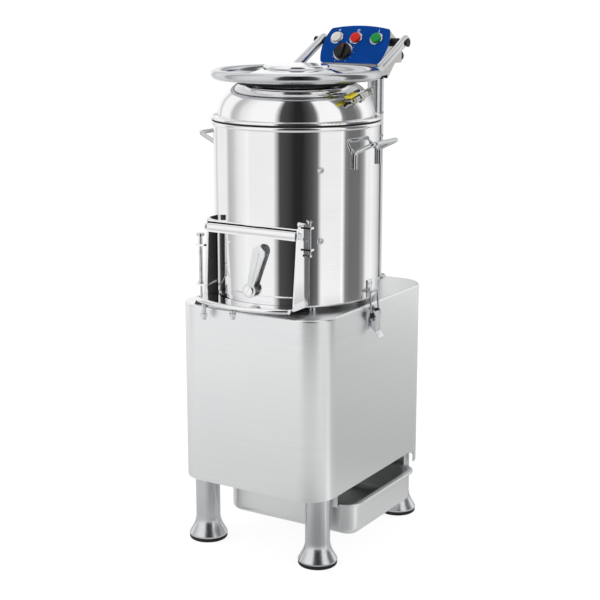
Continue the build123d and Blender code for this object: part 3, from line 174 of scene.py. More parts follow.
def raised(tree, value, height_mm):
    """A bump of a given height from a value."""
    return add(tree, "ShaderNodeBump", {"Height": value, "Distance": height_mm * MM,
                                        "Strength": 1.0}).outputs["Normal"]


def sheet_metal(name, dark, light, rough, grain_mm, run_mm=None, grain="Z", lift=0.0, cloud_mm=90.0):
    """A metal finish: a grain, drawn out to run_mm if given, over slow clouds of tone, raised by lift mm."""
    material, tree, shader = surface(name, Metallic=1.0)
    fine = pattern(tree, grain_mm, run_mm, grain, 4.0)
    both = worked(tree, "ADD", fine, pattern(tree, cloud_mm))
    tone = stepped(tree, both, *TWO_NOISE_SPREAD, 0.0, 1.0)
    tree.links.new(blended(tree, tone, dark, light), shader.inputs["Base Color"])
    tree.links.new(stepped(tree, both, *TWO_NOISE_SPREAD, rough[1], rough[0]), shader.inputs["Roughness"])
    if lift:
        tree.links.new(raised(tree, fine, lift), shader.inputs["Normal"])
    return material


def satin_sheet():
    # Type 304 stainless sheet, fine satin ground level along the sheet: pale, soft and even. Its real lines
    # are far under 1 mm apart, so they are drawn 3 mm apart and very faint, as tone and not as relief.
    return sheet_metal("stainless_sheet_satin_ground", "#F4F5F6", "#F8F9F9",
                       rough=(0.30, 0.325), grain_mm=3.0, run_mm=420.0, cloud_mm=400.0)


def leg_tube():
    # Stainless tube polished lengthwise on a belt: long, faint upright lines of tone and shine.
    return sheet_metal("stainless_tube_lengthwise_brushed", "#D4D6D8", "#E0E2E4",
                       rough=(0.22, 0.27), grain_mm=2.2, run_mm=300.0, grain="XY")


def mirror_sheet():
    # Stainless sheet buffed to a mirror as it turns: sharp reflections, level hair lines of shine.
    return sheet_metal("stainless_mirror_buffed", "#F2F2F3", "#F8F8F9",
                       rough=(0.045, 0.06), grain_mm=1.6, run_mm=240.0, lift=0.0001)


def mirror_rod():
    # Stainless rod and tube, bent and then tumbled bright: nearly a mirror with a fine haze.
    return sheet_metal("stainless_rod_bright_tumbled", "#C2C4C7", "#D8DADC",
                       rough=(0.07, 0.13), grain_mm=1.5, lift=0.001)


def satin_lever():
    # Stainless bar, linished: a plain grey blade that stands out from the mirror of the door behind it.
    return sheet_metal("stainless_bar_linished", "#E2E3E4", "#F0F1F2",
                       rough=(0.24, 0.32), grain_mm=1.2, run_mm=30.0, grain="X", lift=0.002)


def housing_sheet():
    # Stainless sheet of the control head, satin ground and a little warmer than the cabinet.
    return sheet_metal("stainless_head_satin_ground", "#BDBBB7", "#C6C4C0",
                       rough=(0.28, 0.32), grain_mm=2.0, run_mm=120.0)


def zinc_fastener():
    # Steel stampings and screws in bright zinc plate: pale, shiny and a little mottled.
    return sheet_metal("steel_fastener_zinc_plated", "#C9CCCF", "#ECEEF0",
                       rough=(0.10, 0.22), grain_mm=0.8, lift=0.004, cloud_mm=12.0)


def nickel_brass():
    # Brass valve body plated with nickel and chrome: a bright casting with a slight orange peel.
    return sheet_metal("valve_brass_chrome_plated", "#A6A5A1", "#CDCCC8",
                       rough=(0.08, 0.18), grain_mm=1.4, lift=0.012, cloud_mm=9.0)


def turned_steel():
    # Carbon steel turned on a lathe and oiled: dark grey with close rings.
    return sheet_metal("carbon_steel_turned", "#5E6166", "#8B8E92",
                       rough=(0.25, 0.40), grain_mm=0.7, run_mm=30.0, lift=0.015)


def cast_alloy():
    # Sand-cast aluminium, blasted: dull silver with a pebbled skin that a fingernail would feel.
    return sheet_metal("aluminium_sand_cast", "#9C9EA0", "#C3C5C7",
                       rough=(0.42, 0.62), grain_mm=1.6, lift=0.16, cloud_mm=25.0)


def abrasive_grit():
    # Silicon carbide grit of about 2 mm bound in dark resin: sharp grains, with pale glints painted into the
    # colour between them.
    material, tree, shader = surface("silicon_carbide_grit_in_resin", Roughness=0.62)
    grain_mm, glint_speck_mm, lift_mm = 2.1, 0.9, 0.8
    tip, valley = 0.05, 0.75
    glint_from, glint_to, glint = 0.62, 0.70, 0.55
    grains = stepped(tree, pattern(tree, grain_mm, kind="ShaderNodeTexVoronoi"), tip, valley, 1.0, 0.0)
    # painted highlight: pale specks of base colour that stand for glints on the grains
    painted_glint = stepped(tree, pattern(tree, glint_speck_mm), glint_from, glint_to, 0.0, glint)
    tone = worked(tree, "MAXIMUM", grains, painted_glint)
    tree.links.new(blended(tree, tone, "#17181A", "#4A4B4D"), shader.inputs["Base Color"])
    tree.links.new(raised(tree, grains, lift_mm), shader.inputs["Normal"])
    return material


def soft_skin(name, dark, light, rough, size_mm, lift, coat=0.0, level=0.5, cloud_mm=35.0):
    """A moulded or painted finish: a small pebble, slow clouds of tone, and a coat where it is glossy."""
    material, tree, shader = surface(name, Coat_Weight=coat, Specular_IOR_Level=level)
    pebble = pattern(tree, size_mm, detail=2.0)
    tone = stepped(tree, pattern(tree, cloud_mm), *NOISE_SPREAD, 0.0, 1.0)
    tree.links.new(blended(tree, tone, dark, light), shader.inputs["Base Color"])
    tree.links.new(stepped(tree, pebble, *NOISE_SPREAD, *rough), shader.inputs["Roughness"])
    tree.links.new(raised(tree, pebble, lift), shader.inputs["Normal"])
    return material


def black_rubber():
    # Black nitrile rubber, moulded: matt, with faint clouds of grey bloom.
    return soft_skin("nitrile_rubber_moulded_black", "#141415", "#232324",
                     rough=(0.62, 0.82), size_mm=1.3, lift=0.03)


def white_rubber():
    # Food-grade silicone, moulded: milky and soft-edged, slightly waxy.
    return soft_skin("silicone_rubber_moulded_white", "#D2D2CC", "#E2E2DD",
                     rough=(0.40, 0.55), size_mm=1.6, lift=0.02)


def motor_enamel():
    # Air-drying enamel sprayed on a cast motor frame: blue-grey with orange peel.
    return soft_skin("motor_frame_sprayed_enamel", "#3B4650", "#4A5661",
                     rough=(0.28, 0.42), size_mm=2.2, lift=0.05, coat=0.3)


def dark_steel():
    # Mild steel in black powder coat: a close, even pebble with a low shine.
    return soft_skin("mild_steel_powder_coated_black", "#1D1E20", "#2A2B2D",
                     rough=(0.38, 0.52), size_mm=1.0, lift=0.04)


def black_plastic():
    # Black ABS, injection moulded with a spark-eroded texture: an even satin.
    return soft_skin("abs_moulded_black_textured", "#0A0A0C", "#151517",
                     rough=(0.34, 0.50), size_mm=0.9, lift=0.02, level=0.3)


def red_plastic():
    # Red polycarbonate push-button cap, moulded glossy.
    return soft_skin("polycarbonate_cap_red", "#CE1504", "#DC2410",
                     rough=(0.16, 0.26), size_mm=3.0, lift=0.01, level=0.25)


def green_plastic():
    # Green polycarbonate push-button cap, moulded glossy.
    return soft_skin("polycarbonate_cap_green", "#008C3A", "#009C47",
                     rough=(0.16, 0.26), size_mm=3.0, lift=0.01, level=0.25)


def white_lens():
    # White polycarbonate lamp lens, milky and glossy.
    return soft_skin("polycarbonate_lens_white", "#E4E3DC", "#F0EFEA",
                     rough=(0.10, 0.20), size_mm=3.0, lift=0.01, coat=0.5)


def yellow_dip():
    # Vinyl dip coat on a pressed steel lever: thick, rounded and bright.
    return soft_skin("vinyl_dip_coat_yellow", "#E6D300", "#F6E81B",
                     rough=(0.28, 0.40), size_mm=2.5, lift=0.03, coat=0.2)


def panel_film(blue):
    # Printed polyester film on a steel plate: even blue with a fine orange peel, bare steel on the cut edge.
    material, tree, shader = surface("polyester_film_blue_on_steel", Specular_IOR_Level=0.04)
    peel_mm, cloud_mm, lift_mm, darker, lighter = 1.2, 40.0, 0.01, 0.92, 1.08
    film_ends, film_starts = 0.5 * MM, 0.4 * MM
    peel = pattern(tree, peel_mm, detail=2.0)
    cloud = stepped(tree, pattern(tree, cloud_mm), *NOISE_SPREAD, 0.0, 1.0)
    depth = measured(tree, "DOT_PRODUCT", add(tree, "ShaderNodeTexCoord").outputs["Object"], tuple(PANEL_OUT))
    face = PANEL_FOOT.dot(PANEL_OUT)
    film = stepped(tree, depth, face - film_ends, face - film_starts, 0.0, 1.0)
    tone = mixed(tree, cloud, [c * darker for c in blue] + [1.0],
                 [min(c * lighter, 1.0) for c in blue] + [1.0])
    tree.links.new(mixed(tree, film, linear("#B9BCC0"), tone), shader.inputs["Base Color"])
    tree.links.new(stepped(tree, film, 0.0, 1.0, 1.0, 0.0), shader.inputs["Metallic"])
    tree.links.new(stepped(tree, peel, *NOISE_SPREAD, 0.26, 0.40), shader.inputs["Roughness"])
    tree.links.new(raised(tree, peel, lift_mm), shader.inputs["Normal"])
    return material


def weld_metal():
    # Stainless weld run with its scale brushed off: a slightly warm grey, softly pitted.
    return sheet_metal("stainless_weld_bead_brushed", "#8E8C88", "#BDBBB7",
                       rough=(0.25, 0.40), grain_mm=0.8, lift=0.03, cloud_mm=8.0)


def pale_ink():
    # Screen-printed ink on the film, a thin matt layer with slightly uneven cover.
    return soft_skin("screen_print_ink_pale", "#D3DEEE", "#EDF2FA",
                     rough=(0.45, 0.60), size_mm=0.6, lift=0.005)


def red_ink():
    # Red paint of the line that points from the knob: matt and slightly uneven.
    return soft_skin("pointer_paint_red", "#B81B12", "#D42A1F", rough=(0.40, 0.55), size_mm=0.8, lift=0.01)


FINISH_OF_SLOT = {
    "satin_stainless": satin_sheet, "leg_stainless": leg_tube, "polished_stainless": mirror_sheet,
    "bright_fastener": zinc_fastener, "black_rubber": black_rubber, "white_rubber": white_rubber,
    "abrasive": abrasive_grit, "cast_aluminium": cast_alloy, "machined_steel": turned_steel,
    "motor_paint": motor_enamel, "dark_steel": dark_steel, "black_plastic": black_plastic,
    "red_plastic": red_plastic, "green_plastic": green_plastic, "white_plastic": white_lens,
}
FINISH_OF_NODE = {
    "lid_frame": mirror_rod, "side_handle_left": mirror_rod, "side_handle_right": mirror_rod,
    "inlet_valve_body": nickel_brass, "latch_bail_left": mirror_rod, "latch_bail_right": mirror_rod,
    "door_lever": satin_lever, "control_housing": housing_sheet, "control_bracket": housing_sheet,
    "lid_pivot_pins": black_plastic, "valve_lever": zinc_fastener,
}
made_finishes = {}


def finish(maker, *values):
    """The material of one maker function, made once and shared by all its pieces."""
    if maker.__name__ not in made_finishes:
        made_finishes[maker.__name__] = maker(*values)
    return made_finishes[maker.__name__]


# ---------------- mesh helpers

def turn_to(direction, spin=0.0):
    """The turn that takes +Z to a direction, after a spin round +Z."""
    return direction.to_track_quat("Z", "Y").to_matrix().to_4x4() @ Matrix.Rotation(spin, 4, "Z")


def axes(x_axis, y_axis, z_axis):
    """The turn that takes the three axes to three directions."""
    return Matrix((x_axis, y_axis, z_axis)).transposed().to_4x4()


def linked(start):
    """Every vertex joined to one vertex by edges."""
    found, waiting = {start}, [start]
    while waiting:
        vert = waiting.pop()
        for edge in vert.link_edges:
            other = edge.other_vert(vert)
            if other not in found:
                found.add(other)
                waiting.append(other)
    return list(found)


def spin_profile(bm, profile, steps):
    """Spins a profile of radius and height in full about +Z, and gives back its first vertex."""
    chain = [bm.verts.new((radius, 0, height)) for radius, height in profile]
    edges = [bm.edges.new(pair) for pair in zip(chain, chain[1:])]
    bmesh.ops.spin(bm, geom=chain + edges, axis=UPWARD, cent=(0, 0, 0), angle=math.tau, steps=steps,
                   use_merge=True)
    return chain[0]


def add_turned(bm, profile, at, direction, steps=ROUND_STEPS):
    """Spins a profile of radius and height about +Z, and sets it at a point, facing a direction."""
    whole = linked(spin_profile(bm, profile, steps))
    bmesh.ops.remove_doubles(bm, verts=whole, dist=MERGE_DISTANCE)
    whole = linked(next(vert for vert in whole if vert.is_valid))
    bmesh.ops.transform(bm, matrix=Matrix.Translation(at) @ turn_to(direction), verts=whole)


# Round heads by shares of their radius and height, and the hexagon socket by shares of the same two.
SCREW_DOME = ((0.96, 0), (1, 0.12), (0.95, 0.42), (0.82, 0.78), (0.62, 1))
RIVET_DOME = ((0, 0.55), (0.45, 0.5), (0.85, 0.26), (1, 0))
SOCKET_RADIUS = 0.42
SOCKET_DEPTH = 0.6


def add_dome_head(bm, at, direction, radius, height, spin=0.0):
    """A round screw head with a hexagon socket."""
    before = set(bm.verts)
    spin_profile(bm, [(radius * out, height * up) for out, up in SCREW_DOME], HEAD_STEPS)
    ours = [v for v in bm.verts if v not in before]
    bmesh.ops.remove_doubles(bm, verts=ours, dist=MERGE_DISTANCE)
    top = [e for e in bm.edges if e.is_boundary
           and all(v not in before and abs(v.co.z - height) < MERGE_DISTANCE for v in e.verts)]
    socket = bmesh.ops.create_circle(bm, segments=6, radius=SOCKET_RADIUS * radius, cap_ends=False)["verts"]
    bmesh.ops.translate(bm, verts=socket, vec=(0, 0, height))
    ring = list({e for v in socket for e in v.link_edges})
    bmesh.ops.bridge_loops(bm, edges=top + ring)
    sunk = bmesh.ops.extrude_edge_only(bm, edges=ring)["geom"]
    low = [g for g in sunk if isinstance(g, bmesh.types.BMVert)]
    bmesh.ops.translate(bm, verts=low, vec=(0, 0, -SOCKET_DEPTH * height))
    bmesh.ops.contextual_create(bm, geom=low)
    ours = [v for v in bm.verts if v not in before]
    bmesh.ops.transform(bm, matrix=Matrix.Translation(at) @ turn_to(direction, spin), verts=ours)


def add_rivet(bm, at, direction, radius):
    """A low round rivet head."""
    add_turned(bm, [(radius * out, radius * up) for out, up in RIVET_DOME], at, direction, RIVET_STEPS)


def add_washer(bm, at, direction, radius, thickness):
    """A plain washer with a broken edge."""
    flat, wall = 0.95 * radius, 0.7 * thickness
    add_turned(bm, [(0, 0), (radius, 0), (radius, wall), (flat, thickness), (0, thickness)], at, direction)


def add_bar(bm, size, matrix, bevel=0.0, rounds=2):
    """A small bar with broken or rounded edges."""
    made = bmesh.ops.create_cube(bm, size=1.0)["verts"]
    bmesh.ops.scale(bm, vec=size, verts=made)
    if bevel:
        edges = list({e for v in made for e in v.link_edges})
        made = bmesh.ops.bevel(bm, geom=made + edges, offset=bevel, affect="EDGES", segments=rounds,
                               profile=0.5, material=-1)["verts"]
    bmesh.ops.transform(bm, matrix=matrix, verts=made)


# A weld's ripples: their step, how much and how often they swell, and their shares of step and width.
RIPPLE_STEP = 3.2 * MM
RIPPLE_SWELL = 0.12
RIPPLE_TURN = 2.4
RIPPLE_HALF_LENGTH = 0.95
RIPPLE_HEIGHT = 0.42


def add_weld(bm, start, end, out, width):
    """A weld run of lapping ripples between two points, flattened against the surface whose normal is out."""
    run = end - start
    count = max(2, int(run.length / RIPPLE_STEP))
    along = run.normalized()
    lie = axes(out.cross(along).normalized(), along, out)
    for i in range(count):
        at = start + run * ((i + 0.5) / count)
        swell = 1.0 + RIPPLE_SWELL * math.sin(i * RIPPLE_TURN)
        made = bmesh.ops.create_icosphere(bm, subdivisions=2, radius=1.0)["verts"]
        bmesh.ops.scale(bm, vec=(width * swell, RIPPLE_STEP * RIPPLE_HALF_LENGTH, width * RIPPLE_HEIGHT),
                        verts=made)
        bmesh.ops.transform(bm, matrix=Matrix.Translation(at) @ lie, verts=made)


def mesh_object(name, bm, material):
    """Links a new object with one material, whose mesh is that of a bmesh."""
    mesh = bpy.data.meshes.new(name)
    bm.to_mesh(mesh)
    bm.free()
    mesh.materials.append(material)
    made = bpy.data.objects.new(name, mesh)
    bpy.context.scene.collection.objects.link(made)
    return made


def piece(name, bm, material, body, sharp=35.0):
    """Makes a smooth mesh object of a bmesh, sharp past an angle in degrees, riding on a CAD body."""
    bmesh.ops.remove_doubles(bm, verts=bm.verts, dist=SAME_POINT)
    bmesh.ops.recalc_face_normals(bm, faces=bm.faces)
    made = mesh_object(name, bm, material)
    made.data.polygons.foreach_set("use_smooth", [True] * len(made.data.polygons))
    made.data.set_sharp_from_angle(angle=math.radians(sharp))
    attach(made, body)


# ---------------- settings that a user would change

class PeelerFinishSettings(bpy.types.PropertyGroup):
    panel_blue: bpy.props.FloatVectorProperty(
        name="Panel Blue", description="Colour of the film on the control panel", subtype="COLOR",
        size=3, min=0.0, max=1.0, default=linear("#00459C")[:3])


class PeelerFastenerSettings(bpy.types.PropertyGroup):
    bolt_radius: bpy.props.FloatProperty(
        name="Bolt Radius", description="Radius of the round heads on the drum", unit="LENGTH",
        default=5.5 * MM, min=2 * MM, max=12 * MM)
    bolt_height: bpy.props.FloatProperty(
        name="Bolt Height", description="Height of the round heads on the drum", unit="LENGTH",
        default=4.2 * MM, min=1 * MM, max=10 * MM)
    screw_radius: bpy.props.FloatProperty(
        name="Screw Radius", description="Radius of the screws of the rear cover and the posts",
        unit="LENGTH", default=4.0 * MM, min=1 * MM, max=8 * MM)
    rivet_radius: bpy.props.FloatProperty(
        name="Rivet Radius", description="Radius of the rivets of the latches", unit="LENGTH",
        default=2.6 * MM, min=1 * MM, max=5 * MM)


class PeelerDialSettings(bpy.types.PropertyGroup):
    tick_count: bpy.props.IntProperty(
        name="Ticks", description="Number of minute ticks round the timer", default=11, min=3, max=31)
    tick_arc: bpy.props.FloatProperty(
        name="Tick Arc", description="Angle that the ticks span", subtype="ANGLE",
        default=math.radians(300), min=0.5, max=math.tau)


class PeelerWeldSettings(bpy.types.PropertyGroup):
    bead_width: bpy.props.FloatProperty(
        name="Bead Width", description="Half width of the weld runs", unit="LENGTH",
        default=2.2 * MM, min=0.5 * MM, max=6 * MM)


class PeelerStageSettings(bpy.types.PropertyGroup):
    key_power: bpy.props.FloatProperty(
        name="Key Power", description="Power of the large soft lamp on the left", unit="POWER",
        default=26.0, min=0.0, max=500.0)
    sky_strength: bpy.props.FloatProperty(
        name="Sky Strength", description="Strength of the white surround on matt surfaces",
        default=0.62, min=0.0, max=2.0)


# ---------------- the pieces

class PEELER_OT_finish_nodes(bpy.types.Operator):
    """Give every carried-over CAD node its own finish or that of its material slot"""
    bl_idname = "peeler.finish_nodes"
    bl_label = "Finish the CAD Pieces"

    def execute(self, context):
        blue = tuple(context.scene.peeler_finish.panel_blue)
        for part in frame["record"]["subparts"]:
            name, slot = part["node"], part["material_slot"]
            if slot == "blue_panel":
                material = finish(panel_film, blue)
            else:
                material = finish(FINISH_OF_NODE.get(name, FINISH_OF_SLOT.get(slot, zinc_fastener)))
            node = frame["nodes"][name]
            if not node.material_slots:
                node.data.materials.append(material)
            for holder in node.material_slots:
                holder.material = material
        return {"FINISHED"}


class PEELER_OT_drum_bolts(bpy.types.Operator):
    """Add the six round-headed bolts that hold the abrasive lining inside the drum"""
    bl_idname = "peeler.drum_bolts"
    bl_label = "Add Drum Bolts"

    turns = (-42, 78, 198)
    heights = (797 * MM, 659 * MM)
    sunk = 0.2 * MM
    washer_share = 1.25
    washer_thickness = 0.9 * MM
    head_lift = 0.8 * MM

    def execute(self, context):
        sizes = context.scene.peeler_fasteners
        bm = bmesh.new()
        for turn in self.turns:
            for height in self.heights:
                at, out = on_drum(turn, height, -self.sunk), facing(turn)
                add_washer(bm, at, out, self.washer_share * sizes.bolt_radius, self.washer_thickness)
                add_dome_head(bm, at + out * self.head_lift, out, sizes.bolt_radius, sizes.bolt_height,
                              math.radians(turn))
        piece("drum_bolts", bm, finish(zinc_fastener), "base")
        return {"FINISHED"}


class PEELER_OT_case_screws(bpy.types.Operator):
    """Add the screws of the rear cover and of the posts"""
    bl_idname = "peeler.case_screws"
    bl_label = "Add Case Screws"

    # The spin of a screw, in radians, only has to differ from its neighbours'.
    cover_inset = 7 * MM
    cover_proud = 1.5 * MM
    side_shares = (0, 1 / 3, 2 / 3, 1)
    spin_step = 5
    cover_head = 0.7
    post_heights = (877 * MM, 828 * MM)
    post_turn = -10
    post_radius = 17.5 * MM
    post_sunk = 0.3 * MM
    post_head = 0.9
    flange_radius = 27 * MM
    flange_thickness = 3 * MM
    flange_turns = (45, 135, 225, 315)
    flange_reach = 22.3 * MM
    flange_share = 0.75
    flange_head = 0.5

    def execute(self, context):
        radius = context.scene.peeler_fasteners.screw_radius
        bm = bmesh.new()
        low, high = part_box("cabinet_rear_cover")
        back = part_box("cabinet_shell")[1].y + self.cover_proud
        bottom, top = low.z + self.cover_inset, high.z - self.cover_inset
        for x in (low.x + self.cover_inset, high.x - self.cover_inset):
            for share in self.side_shares:
                at = Vector((x, back, bottom + share * (top - bottom)))
                add_dome_head(bm, at, BACKWARD, radius, self.cover_head * radius, share * self.spin_step + x)
        for z in (bottom, top):
            add_dome_head(bm, Vector((0, back, z)), BACKWARD, radius, self.cover_head * radius, z)
        piece("rear_cover_screws", bm, finish(zinc_fastener), "base")
        bm = bmesh.new()
        post_low, post_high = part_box("control_posts")
        axis = Vector((post_high.x - self.flange_radius, (post_low.y + post_high.y) / 2, 0))
        out = facing(self.post_turn)
        for height in self.post_heights:
            at = axis + out * (self.post_radius - self.post_sunk) + UPWARD * height
            add_dome_head(bm, at, out, radius, self.post_head * radius)
        for side in (-1, 1):
            centre = Vector((side * axis.x, axis.y, post_low.z + self.flange_thickness))
            for turn in self.flange_turns:
                add_dome_head(bm, centre + facing(turn) * self.flange_reach, UPWARD,
                              self.flange_share * radius, self.flange_head * radius, turn)
        piece("post_screws", bm, finish(zinc_fastener), "base")
        return {"FINISHED"}


class PEELER_OT_latch_fittings(bpy.types.Operator):
    """Add the rivets and the small black springs of the two side latches"""
    bl_idname = "peeler.latch_fittings"
    bl_label = "Add Latch Rivets and Springs"

    base_plate = 2 * MM
    base_inset = 5 * MM
    base_rise = 6 * MM
    keeper_apart = 5.5 * MM
    keeper_drop = 7 * MM
    keeper_proud = 2.1 * MM
    bail_rod = 2 * MM
    spring_rise = 8 * MM
    bail_lean = 0.08
    spring_turns = 6
    spring_steps = 14
    spring_radius = 3.1 * MM
    spring_wire = 0.75 * MM
    spring_pitch = 1.7 * MM

    def execute(self, context):
        radius = context.scene.peeler_fasteners.rivet_radius
        rivets = bmesh.new()
        for side, word in ((1, "right"), (-1, "left")):
            low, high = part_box("latch_base_" + word)
            for y in (low.y + self.base_inset, high.y - self.base_inset):
                at = Vector((side * (CABINET_SIDE + self.base_plate), y, low.z + self.base_rise))
                add_rivet(rivets, at, Vector((side, 0, 0)), radius)
            low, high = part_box("latch_keeper_" + word)
            for y in ((low.y + high.y) / 2 - self.keeper_apart, (low.y + high.y) / 2 + self.keeper_apart):
                turn = math.degrees(math.asin((y - DRUM_AXIS.y) / DRUM_RADIUS))
                turn = turn if side > 0 else 180 - turn
                at = on_drum(turn, high.z - self.keeper_drop, self.keeper_proud)
                add_rivet(rivets, at, facing(turn), radius)
        piece("latch_rivets", rivets, finish(zinc_fastener), "base")
        for side, word in ((1, "right"), (-1, "left")):
            springs = bmesh.new()
            low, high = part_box("latch_bail_" + word)
            x = low.x + self.bail_rod if side < 0 else high.x - self.bail_rod
            for y in (low.y + self.bail_rod, high.y - self.bail_rod):
                direction = Vector((-side * self.bail_lean, 0, 1)).normalized()
                self.add_spring(springs, Vector((x, y, low.z + self.spring_rise)), direction)
            piece("latch_springs_" + word, springs, finish(dark_steel), "bail_" + word)
        return {"FINISHED"}

    def add_spring(self, bm, foot, direction):
        """A close coil round the wire of a bail."""
        section = bmesh.ops.create_circle(bm, segments=8, radius=self.spring_wire, cap_ends=True)["verts"]
        stand = Matrix.Translation((self.spring_radius, 0, 0)) @ Matrix.Rotation(math.pi / 2, 4, "X")
        bmesh.ops.transform(bm, matrix=stand, verts=section)
        edges = list({e for v in section for e in v.link_edges})
        faces = list({f for v in section for f in v.link_faces})
        bmesh.ops.spin(bm, geom=section + edges + faces, axis=UPWARD, cent=(0, 0, 0),
                       dvec=(0, 0, self.spring_pitch / self.spring_steps),
                       angle=math.tau * self.spring_turns, steps=self.spring_steps * self.spring_turns)
        whole = linked(section[0])
        bmesh.ops.transform(bm, matrix=Matrix.Translation(foot) @ turn_to(direction), verts=whole)


class PEELER_OT_panel_marks(bpy.types.Operator):
    """Add the printed ticks, the button symbols and the pointer of the timer"""
    bl_idname = "peeler.panel_marks"
    bl_label = "Add Panel Marks"

    dial_x = -23 * MM
    dial_rise = 27 * MM
    ring_radius = 22 * MM
    button_rise = 62 * MM
    start_x = 46.4 * MM
    stop_x = -3.2 * MM
    lamp_x = -50 * MM
    ink_lift = 0.05 * MM
    ink_thickness = 0.12 * MM
    long_tick_every = 5
    long_tick = (3.2 * MM, 3.2 * MM)
    short_tick = (2.6 * MM, 2.0 * MM)
    tick_width = 0.7 * MM
    symbol_rise = 20.5 * MM
    start_bar = (1.3 * MM, 6.4 * MM)
    stop_radius = 3.2 * MM
    lamp_radius = 2.4 * MM
    circle_line = 1.1 * MM
    circle_thickness = 0.06 * MM
    pointer_reach = 9.5 * MM
    pointer_size = (1.4 * MM, 9 * MM, 0.3 * MM)
    pointer_edge = 0.05 * MM
    grip_top = 11.85 * MM

    def execute(self, context):
        dial = context.scene.peeler_dial
        flat = axes(Vector((1, 0, 0)), PANEL_UP, PANEL_OUT)
        ink = bmesh.new()
        centre = Matrix.Translation(on_panel(self.dial_x, self.dial_rise, self.ink_lift)) @ flat
        for i in range(dial.tick_count):
            turn = math.pi / 2 - dial.tick_arc * (i / (dial.tick_count - 1) - 0.5)
            reach, length = self.short_tick if i % self.long_tick_every else self.long_tick
            spot = Matrix.Rotation(turn, 4, "Z") @ Matrix.Translation((self.ring_radius + reach, 0, 0))
            add_bar(ink, (length, self.tick_width, self.ink_thickness), centre @ spot)
        rise = self.button_rise + self.symbol_rise
        add_bar(ink, (*self.start_bar, self.ink_thickness),
                Matrix.Translation(on_panel(self.start_x, rise, self.ink_lift)) @ flat)
        for x, radius in ((self.stop_x, self.stop_radius), (self.lamp_x, self.lamp_radius)):
            inner = radius - self.circle_line
            add_turned(ink, [(radius, 0), (radius, self.circle_thickness), (inner, self.circle_thickness),
                             (inner, 0), (radius, 0)], on_panel(x, rise), PANEL_OUT)
        piece("panel_print", ink, finish(pale_ink), "base")
        mark = bmesh.new()
        at = on_panel(self.dial_x, self.dial_rise + self.pointer_reach, self.grip_top)
        add_bar(mark, self.pointer_size, Matrix.Translation(at) @ flat, self.pointer_edge)
        piece("timer_pointer", mark, finish(red_ink), "timer")
        return {"FINISHED"}


class PEELER_OT_weld_runs(bpy.types.Operator):
    """Add the weld runs of the carrying handles, the chute cheeks and the lid arms"""
    bl_idname = "peeler.weld_runs"
    bl_label = "Add Weld Runs"

    smooth_to = 60
    grip_half = 48.5 * MM
    grip_rod = 4.5 * MM
    grip_share = 0.75
    grip_foot = 2 * MM
    grip_run = 26 * MM
    cheek_out = 107.5 * MM
    cheek_shift = (0.5 * MM, 0.6 * MM)
    cheek_foot = 8 * MM
    cheek_top = 3 * MM
    arm_x = 101 * MM
    arm_behind = 9 * MM
    ring_radius = 162 * MM
    tube = 10 * MM
    blobs = 26
    blob_size = (1.5 * MM, 1.9 * MM, 1.5 * MM)
    blob_sunk = 0.2 * MM
    saddle = 4.5 * MM

    def execute(self, context):
        width = context.scene.peeler_welds.bead_width
        bm = bmesh.new()
        for side, word in ((1, "right"), (-1, "left")):
            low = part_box("side_handle_" + word)[0]
            for end in (-1, 1):
                y = end * (self.grip_half + self.grip_share * self.grip_rod)
                x = math.sqrt(DRUM_RADIUS ** 2 - y ** 2)
                out = Vector((side * x, y, 0)).normalized()
                foot = DRUM_AXIS + Vector((side * x, y, low.z + self.grip_foot))
                add_weld(bm, foot, foot + UPWARD * self.grip_run, out, width)
            y = -math.sqrt(DRUM_RADIUS ** 2 - self.cheek_out ** 2)
            out = Vector((side * self.cheek_out, y, 0)).normalized()
            foot = DRUM_AXIS + Vector((side * (self.cheek_out + self.cheek_shift[0]), y + self.cheek_shift[1],
                                       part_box("drum_shell")[0].z + self.cheek_foot))
            top = foot.copy()
            top.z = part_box("chute_frame")[1].z - self.cheek_top
            add_weld(bm, foot, top, out, width)
        piece("body_weld_runs", bm, finish(weld_metal), "base", self.smooth_to)
        bm = bmesh.new()
        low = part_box("lid_frame")[0]
        ring_y = low.y + self.ring_radius + self.tube
        y = ring_y + math.sqrt(self.ring_radius ** 2 - self.arm_x ** 2) + self.arm_behind
        for side in (-1, 1):
            centre = Vector((side * self.arm_x, y, low.z + self.tube))
            for i in range(self.blobs):
                turn = math.tau * i / self.blobs
                spot = centre + Vector((math.cos(turn), 0, math.sin(turn))) * (self.tube - self.blob_sunk)
                spot.y -= self.saddle * math.cos(turn) * side
                blob = bmesh.ops.create_icosphere(bm, subdivisions=1, radius=1.0)["verts"]
                bmesh.ops.scale(bm, vec=self.blob_size, verts=blob)
                bmesh.ops.translate(bm, verts=blob, vec=spot)
        piece("lid_weld_runs", bm, finish(weld_metal), "lid", self.smooth_to)
        return {"FINISHED"}


def water_inlet():
    """The middle, direction, radius and length of the hose tail, from the record's mount."""
    inlet = next(mount for mount in frame["record"]["mounts"] if mount["name"] == "water_inlet")
    dims = inlet["dims"]
    return Vector(inlet["pos_m"]), Vector(inlet["axis"]), dims["r_mm"] * MM, dims["length_mm"] * MM


